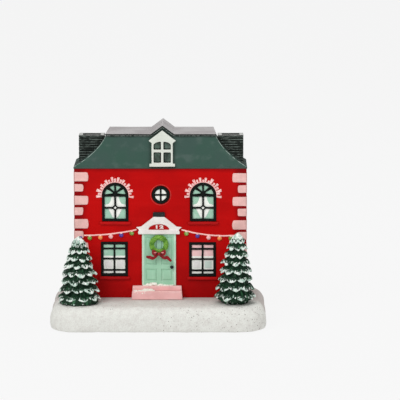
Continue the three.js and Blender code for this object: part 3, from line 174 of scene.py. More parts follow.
class NodeSheet:
    """Adds nodes to a tree from left to right and links them."""

    def __init__(self, tree):
        self.tree = tree
        self.count = 0

    def put(self, socket, value):
        """Links a socket to another one, or gives it a value."""
        if isinstance(value, bpy.types.NodeSocket):
            self.tree.links.new(value, socket)
        else:
            socket.default_value = value

    def add(self, kind, inputs=None, **settings):
        """New node with its settings, and its inputs by name or number."""
        node = self.tree.nodes.new(kind)
        self.count += 1
        node.location = (200 * self.count, -160 * (self.count % 4))
        for name, value in settings.items():
            setattr(node, name, value)
        for name, value in (inputs or {}).items():
            self.put(node.inputs[name], value)
        return node

    def mix(self, share, first, second):
        """Colour between two others."""
        return self.add("ShaderNodeMix", {0: share, 6: first, 7: second}, data_type="RGBA").outputs[2]

    def math(self, operation, *values):
        """Result of one operation on numbers."""
        return self.add("ShaderNodeMath", dict(enumerate(values)), operation=operation).outputs[0]

    def ramp(self, value, start, end):
        """Smooth step from 0 at start to 1 at end."""
        inputs = {"Value": value, "From Min": start, "From Max": end}
        node = self.add("ShaderNodeMapRange", inputs, interpolation_type="SMOOTHSTEP")
        return node.outputs["Result"]

    def place(self):
        """Coordinates in the row frame."""
        return self.add("ShaderNodeTexCoord").outputs["Object"]

    def axis(self, name):
        """One coordinate in the row frame."""
        return self.add("ShaderNodeSeparateXYZ", {0: self.place()}).outputs[name]

    def cloud(self, vector, scale, detail=3.0):
        """Noise from 0 to 1."""
        inputs = {"Vector": vector, "Scale": scale, "Detail": detail}
        return self.add("ShaderNodeTexNoise", inputs).outputs["Fac"]


COLOUR, NUMBER, VECTOR = "NodeSocketColor", "NodeSocketFloat", "NodeSocketVector"


def effect_group(name, inputs, outputs, build):
    """Shader node group with named sockets, made once."""
    tree = bpy.data.node_groups.get(name)
    if tree is None:
        tree = bpy.data.node_groups.new(name, "ShaderNodeTree")
        for label, kind in inputs.items():
            tree.interface.new_socket(name=label, in_out="INPUT", socket_type=kind)
        for label, kind in outputs.items():
            tree.interface.new_socket(name=label, in_out="OUTPUT", socket_type=kind)
        sheet = NodeSheet(tree)
        start = sheet.add("NodeGroupInput")
        made = build(sheet, start.outputs)
        sheet.add("NodeGroupOutput", made)
    return tree


def brushed_paint_group():
    """Hand-brushed paint: uneven cover, streaks of a lighter tone and faint brush marks."""

    def build(sheet, given):
        place = sheet.place()
        patches = sheet.cloud(place, given["Patch Scale"], 4.0)
        along = sheet.add(
            "ShaderNodeVectorMath", {0: place, 1: given["Stroke Scale"]}, operation="MULTIPLY"
        )
        strokes = sheet.cloud(along.outputs[0], 1.0, 5.0)
        uneven = sheet.math("MULTIPLY", sheet.ramp(patches, 0.4, 0.68), given["Unevenness"])
        streak = sheet.math("MULTIPLY", sheet.ramp(strokes, 0.52, 0.72), given["Streaks"])
        cover = sheet.mix(uneven, given["Paint"], given["Deep"])
        dull = sheet.math("MULTIPLY_ADD", patches, 0.24, given["Roughness"])
        return {
            "Color": sheet.mix(streak, cover, given["Light"]),
            "Roughness": sheet.math("SUBTRACT", dull, 0.12),
            "Height": sheet.math("MULTIPLY_ADD", patches, 0.6, strokes),
        }

    inputs = {
        "Paint": COLOUR, "Deep": COLOUR, "Light": COLOUR, "Stroke Scale": VECTOR,
        "Patch Scale": NUMBER, "Unevenness": NUMBER, "Streaks": NUMBER, "Roughness": NUMBER,
    }
    outputs = {"Color": COLOUR, "Roughness": NUMBER, "Height": NUMBER}
    return effect_group("Brushed Paint", inputs, outputs, build)


def edge_wear_highlight_shade_group():
    """Paler paint on outside edges, partly rubbed wear and partly painted highlight, and darker paint in
    inside corners as painted shade, by the edge attribute.
    """

    def build(sheet, given):
        edge = sheet.add("ShaderNodeAttribute", attribute_name="edge").outputs["Fac"]
        broken = sheet.ramp(sheet.cloud(sheet.place(), 900.0), 0.35, 0.6)
        # outside edges get the paler paint of wear and painted highlight, inside corners the painted shade
        outside = sheet.math("MULTIPLY", sheet.math("MAXIMUM", edge, 0.0), broken)
        inside = sheet.math("MAXIMUM", sheet.math("MULTIPLY", edge, -1.0), 0.0)
        worn_highlighted = sheet.mix(
            sheet.math("MULTIPLY", outside, given["Wear and Highlight Amount"]), given["Color"], given["Wear and Highlight"]
        )
        corner_shaded = sheet.math("MULTIPLY", inside, given["Corner Shade Amount"])
        return {"Color": sheet.mix(corner_shaded, worn_highlighted, given["Corner Shade"])}

    inputs = {
        "Color": COLOUR, "Wear and Highlight": COLOUR, "Corner Shade": COLOUR, "Wear and Highlight Amount": NUMBER, "Corner Shade Amount": NUMBER,
    }
    return effect_group("Edge Wear, Highlight and Shade", inputs, {"Color": COLOUR}, build)


def shade_and_stain_group():
    """Darker tone brushed on up to a given place, with a soft and uneven border: painted shade in most
    finishes, and a smoke stain inside the house.
    """

    def build(sheet, given):
        drift = sheet.math("SUBTRACT", sheet.cloud(sheet.place(), 140.0), 0.5)
        reach = sheet.math("SUBTRACT", given["Gone At"], given["Full At"])
        moved = sheet.math("MULTIPLY_ADD", drift, reach, given["Place"])
        share = sheet.ramp(moved, given["Gone At"], given["Full At"])
        return {
            "Color": sheet.mix(
                sheet.math("MULTIPLY", share, given["Amount"]), given["Color"], given["Shade"]
            )
        }

    inputs = {
        "Color": COLOUR, "Shade": COLOUR, "Place": NUMBER, "Full At": NUMBER, "Gone At": NUMBER,
        "Amount": NUMBER,
    }
    return effect_group("Painted Shade and Stain", inputs, {"Color": COLOUR}, build)


def dry_brush_group():
    """Broken touches of pale paint that catch on a rough surface."""

    def build(sheet, given):
        along = sheet.add(
            "ShaderNodeVectorMath", {0: sheet.place(), 1: given["Stroke Scale"]}, operation="MULTIPLY"
        )
        touches = sheet.ramp(sheet.cloud(along.outputs[0], 1.0, 6.0), given["Threshold"], 0.78)
        share = sheet.math("MULTIPLY", touches, given["Amount"])
        return {"Color": sheet.mix(share, given["Color"], given["Brush"])}

    inputs = {
        "Color": COLOUR, "Brush": COLOUR, "Stroke Scale": VECTOR, "Threshold": NUMBER, "Amount": NUMBER,
    }
    return effect_group("Dry Brush", inputs, {"Color": COLOUR}, build)


def snow_grain_group():
    """Granular snow: lumps, darker grains and a few dark flecks of grit."""

    def build(sheet, given):
        place = sheet.place()
        grains = sheet.cloud(place, given["Grain Scale"], 2.0)
        lumps = sheet.cloud(place, sheet.math("MULTIPLY", given["Grain Scale"], 0.22), 4.0)
        cells = sheet.add("ShaderNodeTexVoronoi", {"Vector": place, "Scale": 800.0})
        chosen = sheet.add("ShaderNodeSeparateColor", {0: cells.outputs["Color"]})
        grit = sheet.math("LESS_THAN", cells.outputs["Distance"], 0.2)
        kept = sheet.math("LESS_THAN", chosen.outputs[0], given["Grit Amount"])
        across = sheet.add("ShaderNodeSeparateXYZ", {0: place}).outputs["X"]
        gathered = sheet.math("MULTIPLY_ADD", across, 2.6, sheet.cloud(place, 60.0))
        patchy = sheet.ramp(gathered, 0.42, 0.66)
        mask = sheet.math("MULTIPLY", sheet.math("MULTIPLY", grit, kept), patchy)
        tone = sheet.ramp(lumps, 0.35, 0.7)
        sandy = sheet.math("MULTIPLY", sheet.ramp(grains, 0.42, 0.66), 0.45)
        share = sheet.math("MULTIPLY_ADD", tone, 0.35, sandy)
        body = sheet.mix(share, given["Snow"], given["Shade"])
        return {
            "Color": sheet.mix(sheet.math("MULTIPLY", mask, 0.75), body, given["Grit"]),
            "Height": sheet.math("MULTIPLY_ADD", lumps, 1.4, grains),
        }

    inputs = {
        "Snow": COLOUR, "Shade": COLOUR, "Grit": COLOUR, "Grain Scale": NUMBER, "Grit Amount": NUMBER,
    }
    return effect_group("Snow Grain", inputs, {"Color": COLOUR, "Height": NUMBER}, build)


class Finish:
    """A material in the making, with the colour, roughness and height that it has so far."""

    def __init__(self, name, **constants):
        self.material = bpy.data.materials.new(name)
        self.material.use_nodes = True
        tree = self.material.node_tree
        self.sheet = NodeSheet(tree)
        self.shader = tree.nodes["Principled BSDF"]
        self.shader.inputs["Specular IOR Level"].default_value = 0.12
        for label, value in constants.items():
            self.shader.inputs[label.replace("_", " ").title()].default_value = value
        self.color = self.rough = self.height = None

    def effect(self, group, values):
        """Places a shared effect with its own values."""
        node = self.sheet.add("ShaderNodeGroup", node_tree=group)
        for label, value in values.items():
            self.sheet.put(node.inputs[label], value)
        return node.outputs

    def brush(self, colour, deep, light, strokes, rough, patches=50.0, uneven=0.5, streaks=0.25):
        """Coat of hand-brushed paint; strokes says how fine its marks are along each axis."""
        made = self.effect(brushed_paint_group(), {
            "Paint": colour, "Deep": deep, "Light": light, "Stroke Scale": strokes,
            "Patch Scale": patches, "Unevenness": uneven, "Streaks": streaks, "Roughness": rough,
        })
        self.color, self.rough, self.height = made["Color"], made["Roughness"], made["Height"]

    def edges(self, wear_highlight, corner_shade, wear_highlight_amount=0.6, corner_shade_amount=0.6):
        """Pale outside edges, partly rubbed wear and partly painted highlight, and dark inside corners as
        painted shade.
        """
        self.color = self.effect(edge_wear_highlight_shade_group(), {
            "Color": self.color, "Wear and Highlight": wear_highlight, "Corner Shade": corner_shade,
            "Wear and Highlight Amount": wear_highlight_amount, "Corner Shade Amount": corner_shade_amount,
        })["Color"]

    def shade(self, tone, place, full_at, gone_at, amount):
        """Soft darker tone that is full at one place, in millimetres, and gone at another: painted shade, and
        inside the house a smoke stain.
        """
        self.color = self.effect(shade_and_stain_group(), {
            "Color": self.color, "Shade": tone, "Place": place,
            "Full At": full_at * MM, "Gone At": gone_at * MM, "Amount": amount,
        })["Color"]

    def touch(self, brush, strokes, threshold, amount):
        """Dry-brushed touches."""
        self.color = self.effect(dry_brush_group(), {
            "Color": self.color, "Brush": brush, "Stroke Scale": strokes,
            "Threshold": threshold, "Amount": amount,
        })["Color"]

    def outward(self, middle):
        """Distance to either side of a place along x, given in millimetres."""
        across = self.sheet.math("SUBTRACT", self.sheet.axis("X"), middle * MM)
        return self.sheet.math("ABSOLUTE", across)

    def done(self, depth=0.05):
        """The finished material, its marks as deep as given in millimetres."""
        sheet = self.sheet
        sheet.put(self.shader.inputs["Base Color"], self.color)
        if self.rough is not None:
            sheet.put(self.shader.inputs["Roughness"], self.rough)
        if self.height is not None:
            inputs = {"Strength": 1.0, "Distance": depth * MM, "Height": self.height}
            bump = sheet.add("ShaderNodeBump", inputs)
            sheet.put(self.shader.inputs["Normal"], bump.outputs[0])
        return self.material


def once(build):
    """Makes a material the first time and hands out the same one after that."""

    def fetch(*given):
        name = "_".join([build.__name__, *given])
        return bpy.data.materials.get(name) or build(name, *given)

    return fetch


def tint(colour, share, other=(0.0, 0.0, 0.0, 1.0)):
    """Colour part of the way to another one, which is black unless given."""
    return tuple(a + (b - a) * share for a, b in zip(colour, other))


WHITE = (1.0, 1.0, 1.0, 1.0)


@once
def wall_paint(name):
    """Satin red, with painted shade low down, under the eaves and between the corner blocks."""
    paints = house_paints()
    finish = Finish(name)
    finish.shader.inputs["Specular IOR Level"].default_value = 0.05
    finish.brush(
        paints.wall_red, tint(paints.wall_red, 0.35, paints.wall_deep), linear(214, 26, 24),
        (50, 50, 300), 0.42, 42.0, 0.8, 0.12,
    )
    outward = finish.outward(HOUSE_X)
    height = finish.sheet.axis("Z")
    # painted shade, darker low down
    finish.shade(paints.wall_deep, height, FOOT + 1, FOOT + 30, 0.34)
    # painted shadow under the eaves
    finish.shade(paints.wall_deep, height, EAVES, EAVES - 2.2, 0.6)
    # painted shade between the corner blocks
    finish.shade(paints.wall_deep, outward, HALF_WALL - 3.0, HALF_WALL - 7.0, 0.85)
    # painted highlight on outside edges and painted shade in inside corners
    finish.edges(linear(206, 40, 36), paints.wall_deep, 0.2, 0.8)
    return finish.done(0.03)


@once
def sill_paint(name):
    """Red of the window sills, with a painted highlight along the top edges and painted shade in inside
    corners.
    """
    paints = house_paints()
    finish = Finish(name)
    finish.brush(paints.wall_red, paints.wall_deep, linear(214, 34, 32), (90, 90, 700), 0.45)
    finish.edges(linear(222, 66, 60), paints.wall_deep, 0.4, 0.9)
    return finish.done(0.04)


@once
def ring_highlight_paint(name):
    """Paler red of the moulding round the window over the door, a painted highlight where the ring catches
    the light.
    """
    finish = Finish(name)
    finish.brush(
        linear(206, 62, 58), linear(176, 20, 20), linear(226, 112, 106), (600, 600, 600), 0.45, 500.0,
    )
    return finish.done(0.03)


@once
def raw_cast(name):
    """Unpainted casting inside the house, browned by smoke higher up."""
    finish = Finish(name)
    finish.brush(linear(196, 186, 170), linear(160, 148, 132), linear(214, 206, 192), (120, 120, 160), 0.8)
    finish.shade(linear(84, 68, 52), finish.sheet.axis("Z"), EAVES, FOOT + 20, 0.75)
    return finish.done(0.08)


@once
def roof_paint(name):
    """Grey green roof front with cloudy patches, and painted shade along the eave, beside the dormer and
    under the capping.
    """
    paints = house_paints()
    finish = Finish(name)
    finish.brush(
        paints.roof_green, linear(52, 86, 72), tint(paints.roof_green, 0.12, WHITE),
        (160, 160, 220), 0.55, 75.0, 0.55, 0.2,
    )
    height = finish.sheet.axis("Z")
    # painted shadow along the eave, where the roof meets the walls
    finish.shade(linear(76, 62, 60), height, EAVES + 0.1, EAVES + 0.9, 0.85)
    # painted shade beside the dormer, on the front only
    outward = finish.outward(DORMER_X)
    at_front = finish.sheet.math("LESS_THAN", finish.sheet.axis("Y"), (FRONT + 3) * MM)
    finish.shade(paints.roof_deep, outward, 5.2, 7.4, finish.sheet.math("MULTIPLY", at_front, 0.5))
    # painted shade under the capping
    finish.shade(paints.roof_deep, height, DECK_LOW - 0.2, DECK_LOW - 1.4, 0.95)
    # painted highlight on the front edges and painted shade in inside corners
    finish.edges(paints.roof_highlight_and_dry_brush, paints.roof_deep, 0.7, 0.7)
    return finish.done(0.04)


@once
def slope_paint(name):
    """Side slopes of the roof: dark, with pale strokes dragged up them."""
    paints = house_paints()
    finish = Finish(name)
    finish.brush(
        tint(paints.roof_green, 0.55, paints.roof_deep), paints.roof_deep,
        paints.roof_green, (260, 700, 90), 0.6, 90.0, 0.8, 0.5,
    )
    finish.touch(paints.roof_highlight_and_dry_brush, (300, 1500, 180), 0.56, 0.55)
    # painted highlight on outside edges and painted shade in inside corners
    finish.edges(paints.roof_highlight_and_dry_brush, paints.roof_deep, 0.8, 0.7)
    return finish.done(0.08)


@once
def deck_reflection_paint(name):
    """Light grey capping with a faint pink cast: a painted reflection of the bright surroundings on its top.
    """
    paints = house_paints()
    finish = Finish(name)
    finish.brush(
        paints.deck_grey, linear(148, 142, 143), tint(paints.deck_grey, 0.3, WHITE),
        (40, 500, 500), 0.6, 60.0, 0.7, 0.4,
    )
    # painted highlight on outside edges and painted shade in inside corners
    finish.edges(tint(paints.deck_grey, 0.3, WHITE), linear(120, 118, 118), 0.5, 0.6)
    return finish.done(0.05)


@once
def deck_edge_paint(name):
    """Dark green line under the front edge of the capping."""
    paints = house_paints()
    finish = Finish(name)
    finish.brush(
        tint(paints.roof_deep, 0.3), tint(paints.roof_deep, 0.6), paints.roof_deep, (90, 90, 900), 0.6
    )
    return finish.done(0.05)


BRICK_COURSE = 1.25


@once
def chimney_paint(name):
    """Green black bricks, dry-brushed in broken rows."""
    paints = house_paints()
    finish = Finish(name)
    finish.brush(
        paints.brick_black, tint(paints.brick_black, 0.4), linear(44, 54, 49), (400, 400, 500), 0.6,
    )
    finish.touch(linear(124, 134, 128), (300, 300, 1100), 0.54, 0.6)
    sheet = finish.sheet
    course = sheet.math("SINE", sheet.math("MULTIPLY", sheet.axis("Z"), 2 * math.pi / (BRICK_COURSE * MM)))
    broken = sheet.math("MULTIPLY_ADD", sheet.cloud(sheet.place(), 420.0), 2.2, course)
    finish.color = sheet.mix(sheet.ramp(broken, 1.65, 2.25), finish.color, linear(112, 124, 118))
    # painted highlight on outside edges and painted shade in inside corners
    finish.edges(linear(104, 116, 108), tint(paints.brick_black, 0.5), 0.35, 0.7)
    return finish.done(0.12)


@once
def chimney_rim_reflection(name):
    """Pale top of the chimney rims, a painted reflection of the bright surroundings."""
    finish = Finish(name)
    finish.brush(
        linear(186, 187, 184), linear(128, 132, 129), linear(222, 223, 220),
        (500, 500, 900), 0.65, 300.0, 0.7,
    )
    return finish.done(0.1)


@once
def flue_black(name):
    """Near-black lining of the flues."""
    finish = Finish(name)
    finish.brush(linear(15, 15, 14), linear(6, 6, 6), linear(34, 32, 30), (300, 300, 200), 0.85)
    return finish.done(0.08)


@once
def trim_paint(name):
    """Off-white trim, with grey painted shade in its inside corners and a painted highlight on its outside
    edges.
    """
    paints = house_paints()
    finish = Finish(name)
    finish.brush(
        paints.trim_white, linear(194, 197, 187), linear(226, 228, 220),
        (180, 180, 420), 0.5, 110.0, 0.6, 0.3,
    )
    finish.edges(linear(236, 237, 230), linear(158, 156, 148), 0.5, 0.8)
    return finish.done(0.05)


@once
def ivory_paint(name):
    """Warmer white of the pediment and the figures on it, with a painted highlight on outside edges and
    painted shade in inside corners.
    """
    finish = Finish(name)
    finish.brush(
        linear(233, 228, 224), linear(212, 204, 200), linear(242, 239, 235),
        (180, 180, 420), 0.5, 110.0, 0.6, 0.3,
    )
    finish.edges(linear(246, 240, 236), linear(176, 150, 146), 0.5, 0.8)
    return finish.done(0.05)


@once
def line_paint(name):
    """Black of frames and glazing bars, laid on thick."""
    paints = house_paints()
    finish = Finish(name)
    finish.brush(
        paints.line_black, tint(paints.line_black, 0.4), linear(40, 44, 40), (500, 500, 500), 0.42, 220.0,
    )
    return finish.done(0.08)


@once
def glass_paint(name, colour_name):
    """Painted pane in one of the scene's colours."""
    colour = getattr(house_paints(), colour_name)
    finish = Finish(name)
    finish.brush(
        colour, tint(colour, 0.14, linear(120, 150, 140)), tint(colour, 0.35, WHITE),
        (350, 350, 260), 0.4, 260.0, 0.6, 0.45,
    )
    return finish.done(0.04)


@once
def dormer_glass(name):
    """Dark green grey panes with lighter, cloudy middles."""
    finish = Finish(name, coat_weight=0.4, coat_roughness=0.15)
    finish.brush(
        linear(72, 92, 82), linear(34, 44, 38), linear(108, 122, 114), (420, 420, 300), 0.3, 330.0, 0.9, 0.5,
    )
    return finish.done(0.03)


@once
def block_paint(name):
    """Salmon pink of the corner blocks, greyer where the brush ran dry, with a painted highlight on outside
    edges and dark red painted shade in inside corners.
    """
    paints = house_paints()
    finish = Finish(name)
    finish.brush(
        paints.block_pink, linear(208, 170, 163), linear(242, 206, 198),
        (260, 260, 520), 0.5, 190.0, 0.75, 0.45,
    )
    finish.edges(linear(240, 202, 195), linear(158, 54, 52), 0.4, 0.7)
    return finish.done(0.06)


@once
def brick_paint(name):
    """Paler pink brushed on the bricks of the window arches."""
    finish = Finish(name)
    finish.brush(
        linear(252, 202, 198), linear(238, 164, 161), linear(255, 230, 226),
        (400, 400, 400), 0.5, 300.0, 0.6, 0.45,
    )
    return finish.done(0.05)


@once
def step_paint(name):
    """Pink of the front steps; its edge colours are a painted highlight on outside edges and painted shade in
    inside corners.
    """
    paints = house_paints()
    finish = Finish(name)
    finish.brush(
        paints.step_pink, linear(222, 170, 168), tint(paints.step_pink, 0.4, WHITE),
        (120, 120, 420), 0.5, 120.0, 0.7, 0.35,
    )
    finish.edges(linear(250, 214, 210), linear(176, 120, 118), 0.5, 0.8)
    return finish.done(0.05)


@once
def door_paint(name):
    """Mint green of the door, with painted shade in its grooves and a painted highlight on its edges."""
    paints = house_paints()
    finish = Finish(name, coat_weight=0.1, coat_roughness=0.3)
    mint, pale = paints.door_mint, tint(paints.door_mint, 0.3, WHITE)
    finish.brush(
        mint, tint(mint, 0.3, linear(124, 172, 142)), pale,
        (420, 420, 90), 0.45, 150.0, 0.6, 0.35,
    )
    finish.edges(pale, linear(96, 140, 112), 0.55, 0.9)
    return finish.done(0.04)


@once
def jamb_highlight_paint(name):
    """Paler mint strips up both edges of the door, a painted highlight."""
    paints = house_paints()
    pale = tint(paints.door_mint, 0.45, linear(232, 240, 228))
    finish = Finish(name)
    finish.brush(pale, paints.door_mint, tint(pale, 0.5, WHITE), (500, 500, 90), 0.5, 150.0, 0.6, 0.4)
    return finish.done(0.04)


@once
def wreath_leaf(name):
    """Leaves of the wreath, from yellow green to deep green."""
    paints = house_paints()
    finish = Finish(name)
    finish.brush(
        paints.wreath_green, linear(62, 114, 38), linear(164, 206, 106),
        (900, 900, 900), 0.5, 700.0, 0.9, 0.7,
    )
    return finish.done(0.06)


@once
def ribbon_paint(name):
    """Crimson ribbon; its edge colours are a painted highlight on outside edges and painted shade in inside
    corners.
    """
    paints = house_paints()
    finish = Finish(name, coat_weight=0.3, coat_roughness=0.2)
    finish.brush(
        paints.ribbon_red, tint(paints.ribbon_red, 0.5, linear(70, 4, 12)), linear(178, 42, 52),
        (900, 900, 300), 0.38, 420.0, 0.7, 0.5,
    )
    finish.edges(linear(206, 86, 90), linear(84, 6, 16), 0.5, 0.6)
    return finish.done(0.04)


@once
def ribbon_gleam(name):
    """Pale pink painted highlights in the bow's loops."""
    finish = Finish(name, coat_weight=0.3)
    finish.brush(
        linear(232, 150, 148), linear(206, 78, 84), linear(250, 214, 208), (900, 900, 500), 0.4, 600.0,
    )
    return finish.done(0.03)


@once
def fir_paint(name):
    """Brushed dark green with mint-white snow where the snow attribute is high."""
    paints = house_paints()
    finish = Finish(name)
    finish.brush(
        tint(paints.tree_dark, 0.12, paints.tree_mid), paints.tree_dark, paints.tree_mid,
        (900, 900, 230), 0.55, 420.0, 0.8, 1.0,
    )
    sheet = finish.sheet
    snow = sheet.add("ShaderNodeAttribute", attribute_name="snow").outputs["Fac"]
    drawn = sheet.add("ShaderNodeVectorMath", {0: sheet.place(), 1: (1300, 1300, 330)}, operation="MULTIPLY")
    ragged = sheet.math("SUBTRACT", sheet.cloud(drawn.outputs[0], 1.0, 4.0), 0.5)
    share = sheet.ramp(sheet.math("MULTIPLY_ADD", ragged, 2.0, snow), 0.4, 0.66)
    blue = sheet.ramp(sheet.cloud(drawn.outputs[0], 0.6), 0.42, 0.62)
    tone = sheet.mix(blue, paints.tree_snow, linear(170, 196, 182))
    finish.color = sheet.mix(share, finish.color, tone)
    return finish.done(0.12)


@once
def fir_foot_paint(name):
    """Almost black green of the foot that each fir stands on."""
    finish = Finish(name)
    finish.brush(linear(22, 34, 27), linear(12, 18, 14), linear(40, 62, 48), (500, 500, 500), 0.6)
    return finish.done(0.06)


@once
def base_snow(name):
    """Granular white of the base, greyer close to the house as painted shadow."""
    paints, sizes = house_paints(), house_sizes()
    finish = Finish(name)
    made = finish.effect(snow_grain_group(), {
        "Snow": paints.snow_white, "Shade": tint(paints.snow_white, 0.6, paints.snow_shade),
        "Grit": linear(96, 84, 74), "Grain Scale": 1 / sizes.snow_grain, "Grit Amount": 0.55,
    })
    finish.color, finish.height = made["Color"], made["Height"]
    # painted shadow on the snow near the house
    near = finish.sheet.axis("Y")
    finish.shade(paints.snow_shade, near, FRONT + 4, FRONT - 15, 0.85)
    finish.rough = finish.sheet.math("MULTIPLY_ADD", made["Height"], 0.1, 0.72)
    return finish.done(0.16)


@once
def crumb_snow(name):
    """Clean snow that lies on the steps."""
    finish = Finish(name)
    made = finish.effect(snow_grain_group(), {
        "Snow": linear(244, 242, 232), "Shade": linear(226, 220, 206), "Grit": linear(190, 176, 160),
        "Grain Scale": 1500.0, "Grit Amount": 0.15,
    })
    finish.color, finish.height = made["Color"], made["Height"]
    return finish.done(0.1)


@once
def bulb_paint(name, which):
    """Glossy paint of one colour of bulb."""
    tones = {
        "green": (122, 162, 62), "violet": (78, 52, 150), "pink": (246, 184, 184), "orange": (244, 150, 78),
    }
    colour = linear(*tones[which])
    finish = Finish(name, coat_weight=0.7, coat_roughness=0.08)
    finish.brush(colour, tint(colour, 0.35), tint(colour, 0.4, WHITE), (700, 700, 700), 0.35, 500.0, 0.5, 0.3)
    return finish.done(0.03)


@once
def cord_paint(name):
    """Pale pink of the string that carries the bulbs."""
    finish = Finish(name)
    finish.brush(
        linear(252, 204, 198), linear(232, 158, 152), linear(255, 230, 222), (700, 700, 700), 0.5, 420.0,
    )
    return finish.done(0.05)


@once
def cast_metal(name):
    """Black enamelled metal of the knob and the cresting; its edge colours are a painted highlight on outside
    edges and painted shade in inside corners.
    """
    finish = Finish(name, metallic=0.35, coat_weight=0.4, coat_roughness=0.15)
    finish.brush(linear(24, 26, 27), linear(10, 11, 12), linear(70, 76, 80), (600, 600, 600), 0.35, 320.0)
    finish.edges(linear(110, 118, 122), linear(8, 8, 8), 0.45, 0.6)
    return finish.done(0.05)


@once
def dish_brass(name):
    """Spun brass with fine rings and smoke stains."""
    paints = house_paints()
    finish = Finish(name, metallic=1.0)
    finish.brush(
        paints.brass, linear(96, 70, 40), tint(paints.brass, 0.3, WHITE),
        (120, 120, 2400), 0.38, 130.0, 0.7, 0.3,
    )
    return finish.done(0.02)


@once
def felt_fibre(name):
    """Pressed felt with short fibres."""
    paints = house_paints()
    finish = Finish(name, sheen_weight=0.15, sheen_roughness=0.5)
    finish.brush(
        paints.felt, tint(paints.felt, 0.35), tint(paints.felt, 0.12, WHITE),
        (1200, 1300, 1250), 0.95, 300.0, 0.5, 0.4,
    )
    return finish.done(0.07)


# Mesh helpers


def new_mesh():
    """Empty mesh in the making, in millimetres."""
    return bmesh.new()


def piece(name, bm, finishes, body, stands_for=(), sharp=38.0):
    """Turns a mesh in the making into a piece that rides on a body."""
    bmesh.ops.recalc_face_normals(bm, faces=bm.faces)
    bmesh.ops.scale(bm, vec=(MM, MM, MM), verts=bm.verts)
    mesh = bpy.data.meshes.new(name)
    bm.to_mesh(mesh)
    bm.free()
    for finish in finishes:
        mesh.materials.append(finish)
    mesh.shade_smooth()
    mesh.set_sharp_from_angle(angle=math.radians(sharp))
    obj = bpy.data.objects.new(name, mesh)
    bpy.context.scene.collection.objects.link(obj)
    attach(obj, body)
    if stands_for:
        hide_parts(*stands_for)
    return obj


def even_normals(obj):
    """Keeps flat faces flat next to their rounded edges."""
    modifier = obj.modifiers.new("Even Normals", "WEIGHTED_NORMAL")
    modifier.keep_sharp = True


def refine(bm, longest):
    """Splits edges until none is longer than the given length."""
    bmesh.ops.triangulate(bm, faces=bm.faces[:])
    for _ in range(7):
        long_edges = [edge for edge in bm.edges if edge.calc_length() > longest]
        if not long_edges:
            break
        bmesh.ops.subdivide_edges(bm, edges=long_edges, cuts=1)
        bmesh.ops.triangulate(bm, faces=[face for face in bm.faces if len(face.verts) > 3])


def sway(bm, amount, size, seed, share=(1.0, 0.5, 1.0)):
    """Moves a surface by smooth noise, so that its lines wander as a hand's do."""
    noise.seed_set(NOISE_SEED)
    for vert in bm.verts:
        drift = noise.noise_vector(vert.co / size + Vector((seed, 3.1 * seed, 0.7 * seed)))
        vert.co += Vector([amount * part * along for part, along in zip(drift, share)])


def node_mesh(node):
    """Mesh in the making from a CAD node, its triangles joined."""
    bm = new_mesh()
    bm.from_mesh(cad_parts[node].data)
    bmesh.ops.scale(bm, vec=(1 / MM, 1 / MM, 1 / MM), verts=bm.verts)
    bmesh.ops.remove_doubles(bm, verts=bm.verts, dist=0.002)
    return bm


def hand_shaped(node, voxel, rounds, amount, size, seed):
    """CAD node with worn, slightly wandering edges, as a cast and painted piece has."""
    bm = remeshed(node_mesh(node), voxel, rounds)
    sway(bm, amount, size, seed, (1.0, 0.25, 1.0))
    return bm


def cad_mesh(node):
    """Mesh in the making from a CAD node, its flat faces whole."""
    bm = node_mesh(node)
    bmesh.ops.dissolve_limit(bm, angle_limit=math.radians(0.5), verts=bm.verts, edges=bm.edges)
    return bm


def softened(node, rounding, crease=0.0, segments=2, sharp=27.0):
    """CAD node with rounded edges. Its edge attribute is 1 on outside edges and -1 in inside corners."""
    bm = cad_mesh(node)
    edge_layer = bm.faces.layers.float.new("edge")
    for sign, width in ((1.0, rounding), (-1.0, crease)):
        if width <= 0:
            continue
        chosen = [
            edge for edge in bm.edges
            if len(edge.link_faces) == 2
            and edge.calc_face_angle(0.0) > math.radians(sharp)
            and edge.is_convex == (sign > 0)
        ]
        made = bmesh.ops.bevel(
            bm, geom=chosen, offset=width, offset_type="OFFSET", segments=segments, profile=0.5,
            affect="EDGES", clamp_overlap=False,
        )
        for face in made["faces"]:
            face[edge_layer] = sign
    return bm


def rounded(points, radius, steps=4):
    """Outline with each corner replaced by a smooth bend."""
    count = len(points)
    outline = []
    for i, point in enumerate(points):
        here = Vector(point)
        back, ahead = Vector(points[i - 1]) - here, Vector(points[(i + 1) % count]) - here
        reach_back = min(radius, back.length * 0.45)
        reach_ahead = min(radius, ahead.length * 0.45)
        start, end = here + back.normalized() * reach_back, here + ahead.normalized() * reach_ahead
        for k in range(steps + 1):
            t = k / steps
            outline.append(start * (1 - t) ** 2 + here * 2 * t * (1 - t) + end * t**2)
    return outline


def drawn_in(outline, distance):
    """Anticlockwise outline moved inwards by a distance."""
    count = len(outline)
    moved = []
    for i, point in enumerate(outline):
        before, after = point - outline[i - 1], outline[(i + 1) % count] - point
        normals = [Vector((-side.y, side.x)).normalized() for side in (before, after) if side.length > 1e-6]
        inward = sum(normals, Vector((0.0, 0.0)))
        inward = inward.normalized() if inward.length > 1e-6 else inward
        moved.append(point + inward * distance)
    return moved


def on_front(back):
    """Places an outline in x and z on the house front, with its back at the given y."""
    return lambda across, up, out: Vector((across, back - out, up))


def tablet(bm, outline, thickness, rounding, place, material=0, dome=0.0):
    """Flat-backed tablet with a rounded face. Place turns across, up and out into a point."""
    steps = 3
    rings = [(outline, 0.0), (outline, thickness - rounding)]
    for k in range(1, steps + 1):
        turn = math.pi / 2 * k / steps
        inset, out = rounding * (1 - math.cos(turn)), thickness - rounding * (1 - math.sin(turn))
        rings.append((drawn_in(outline, inset), out))
    if dome:
        rings.append((drawn_in(outline, 2.4 * rounding), thickness + dome))
    rows = [[bm.verts.new(place(p.x, p.y, out)) for p in ring] for ring, out in rings]
    skin(bm, rows, material)


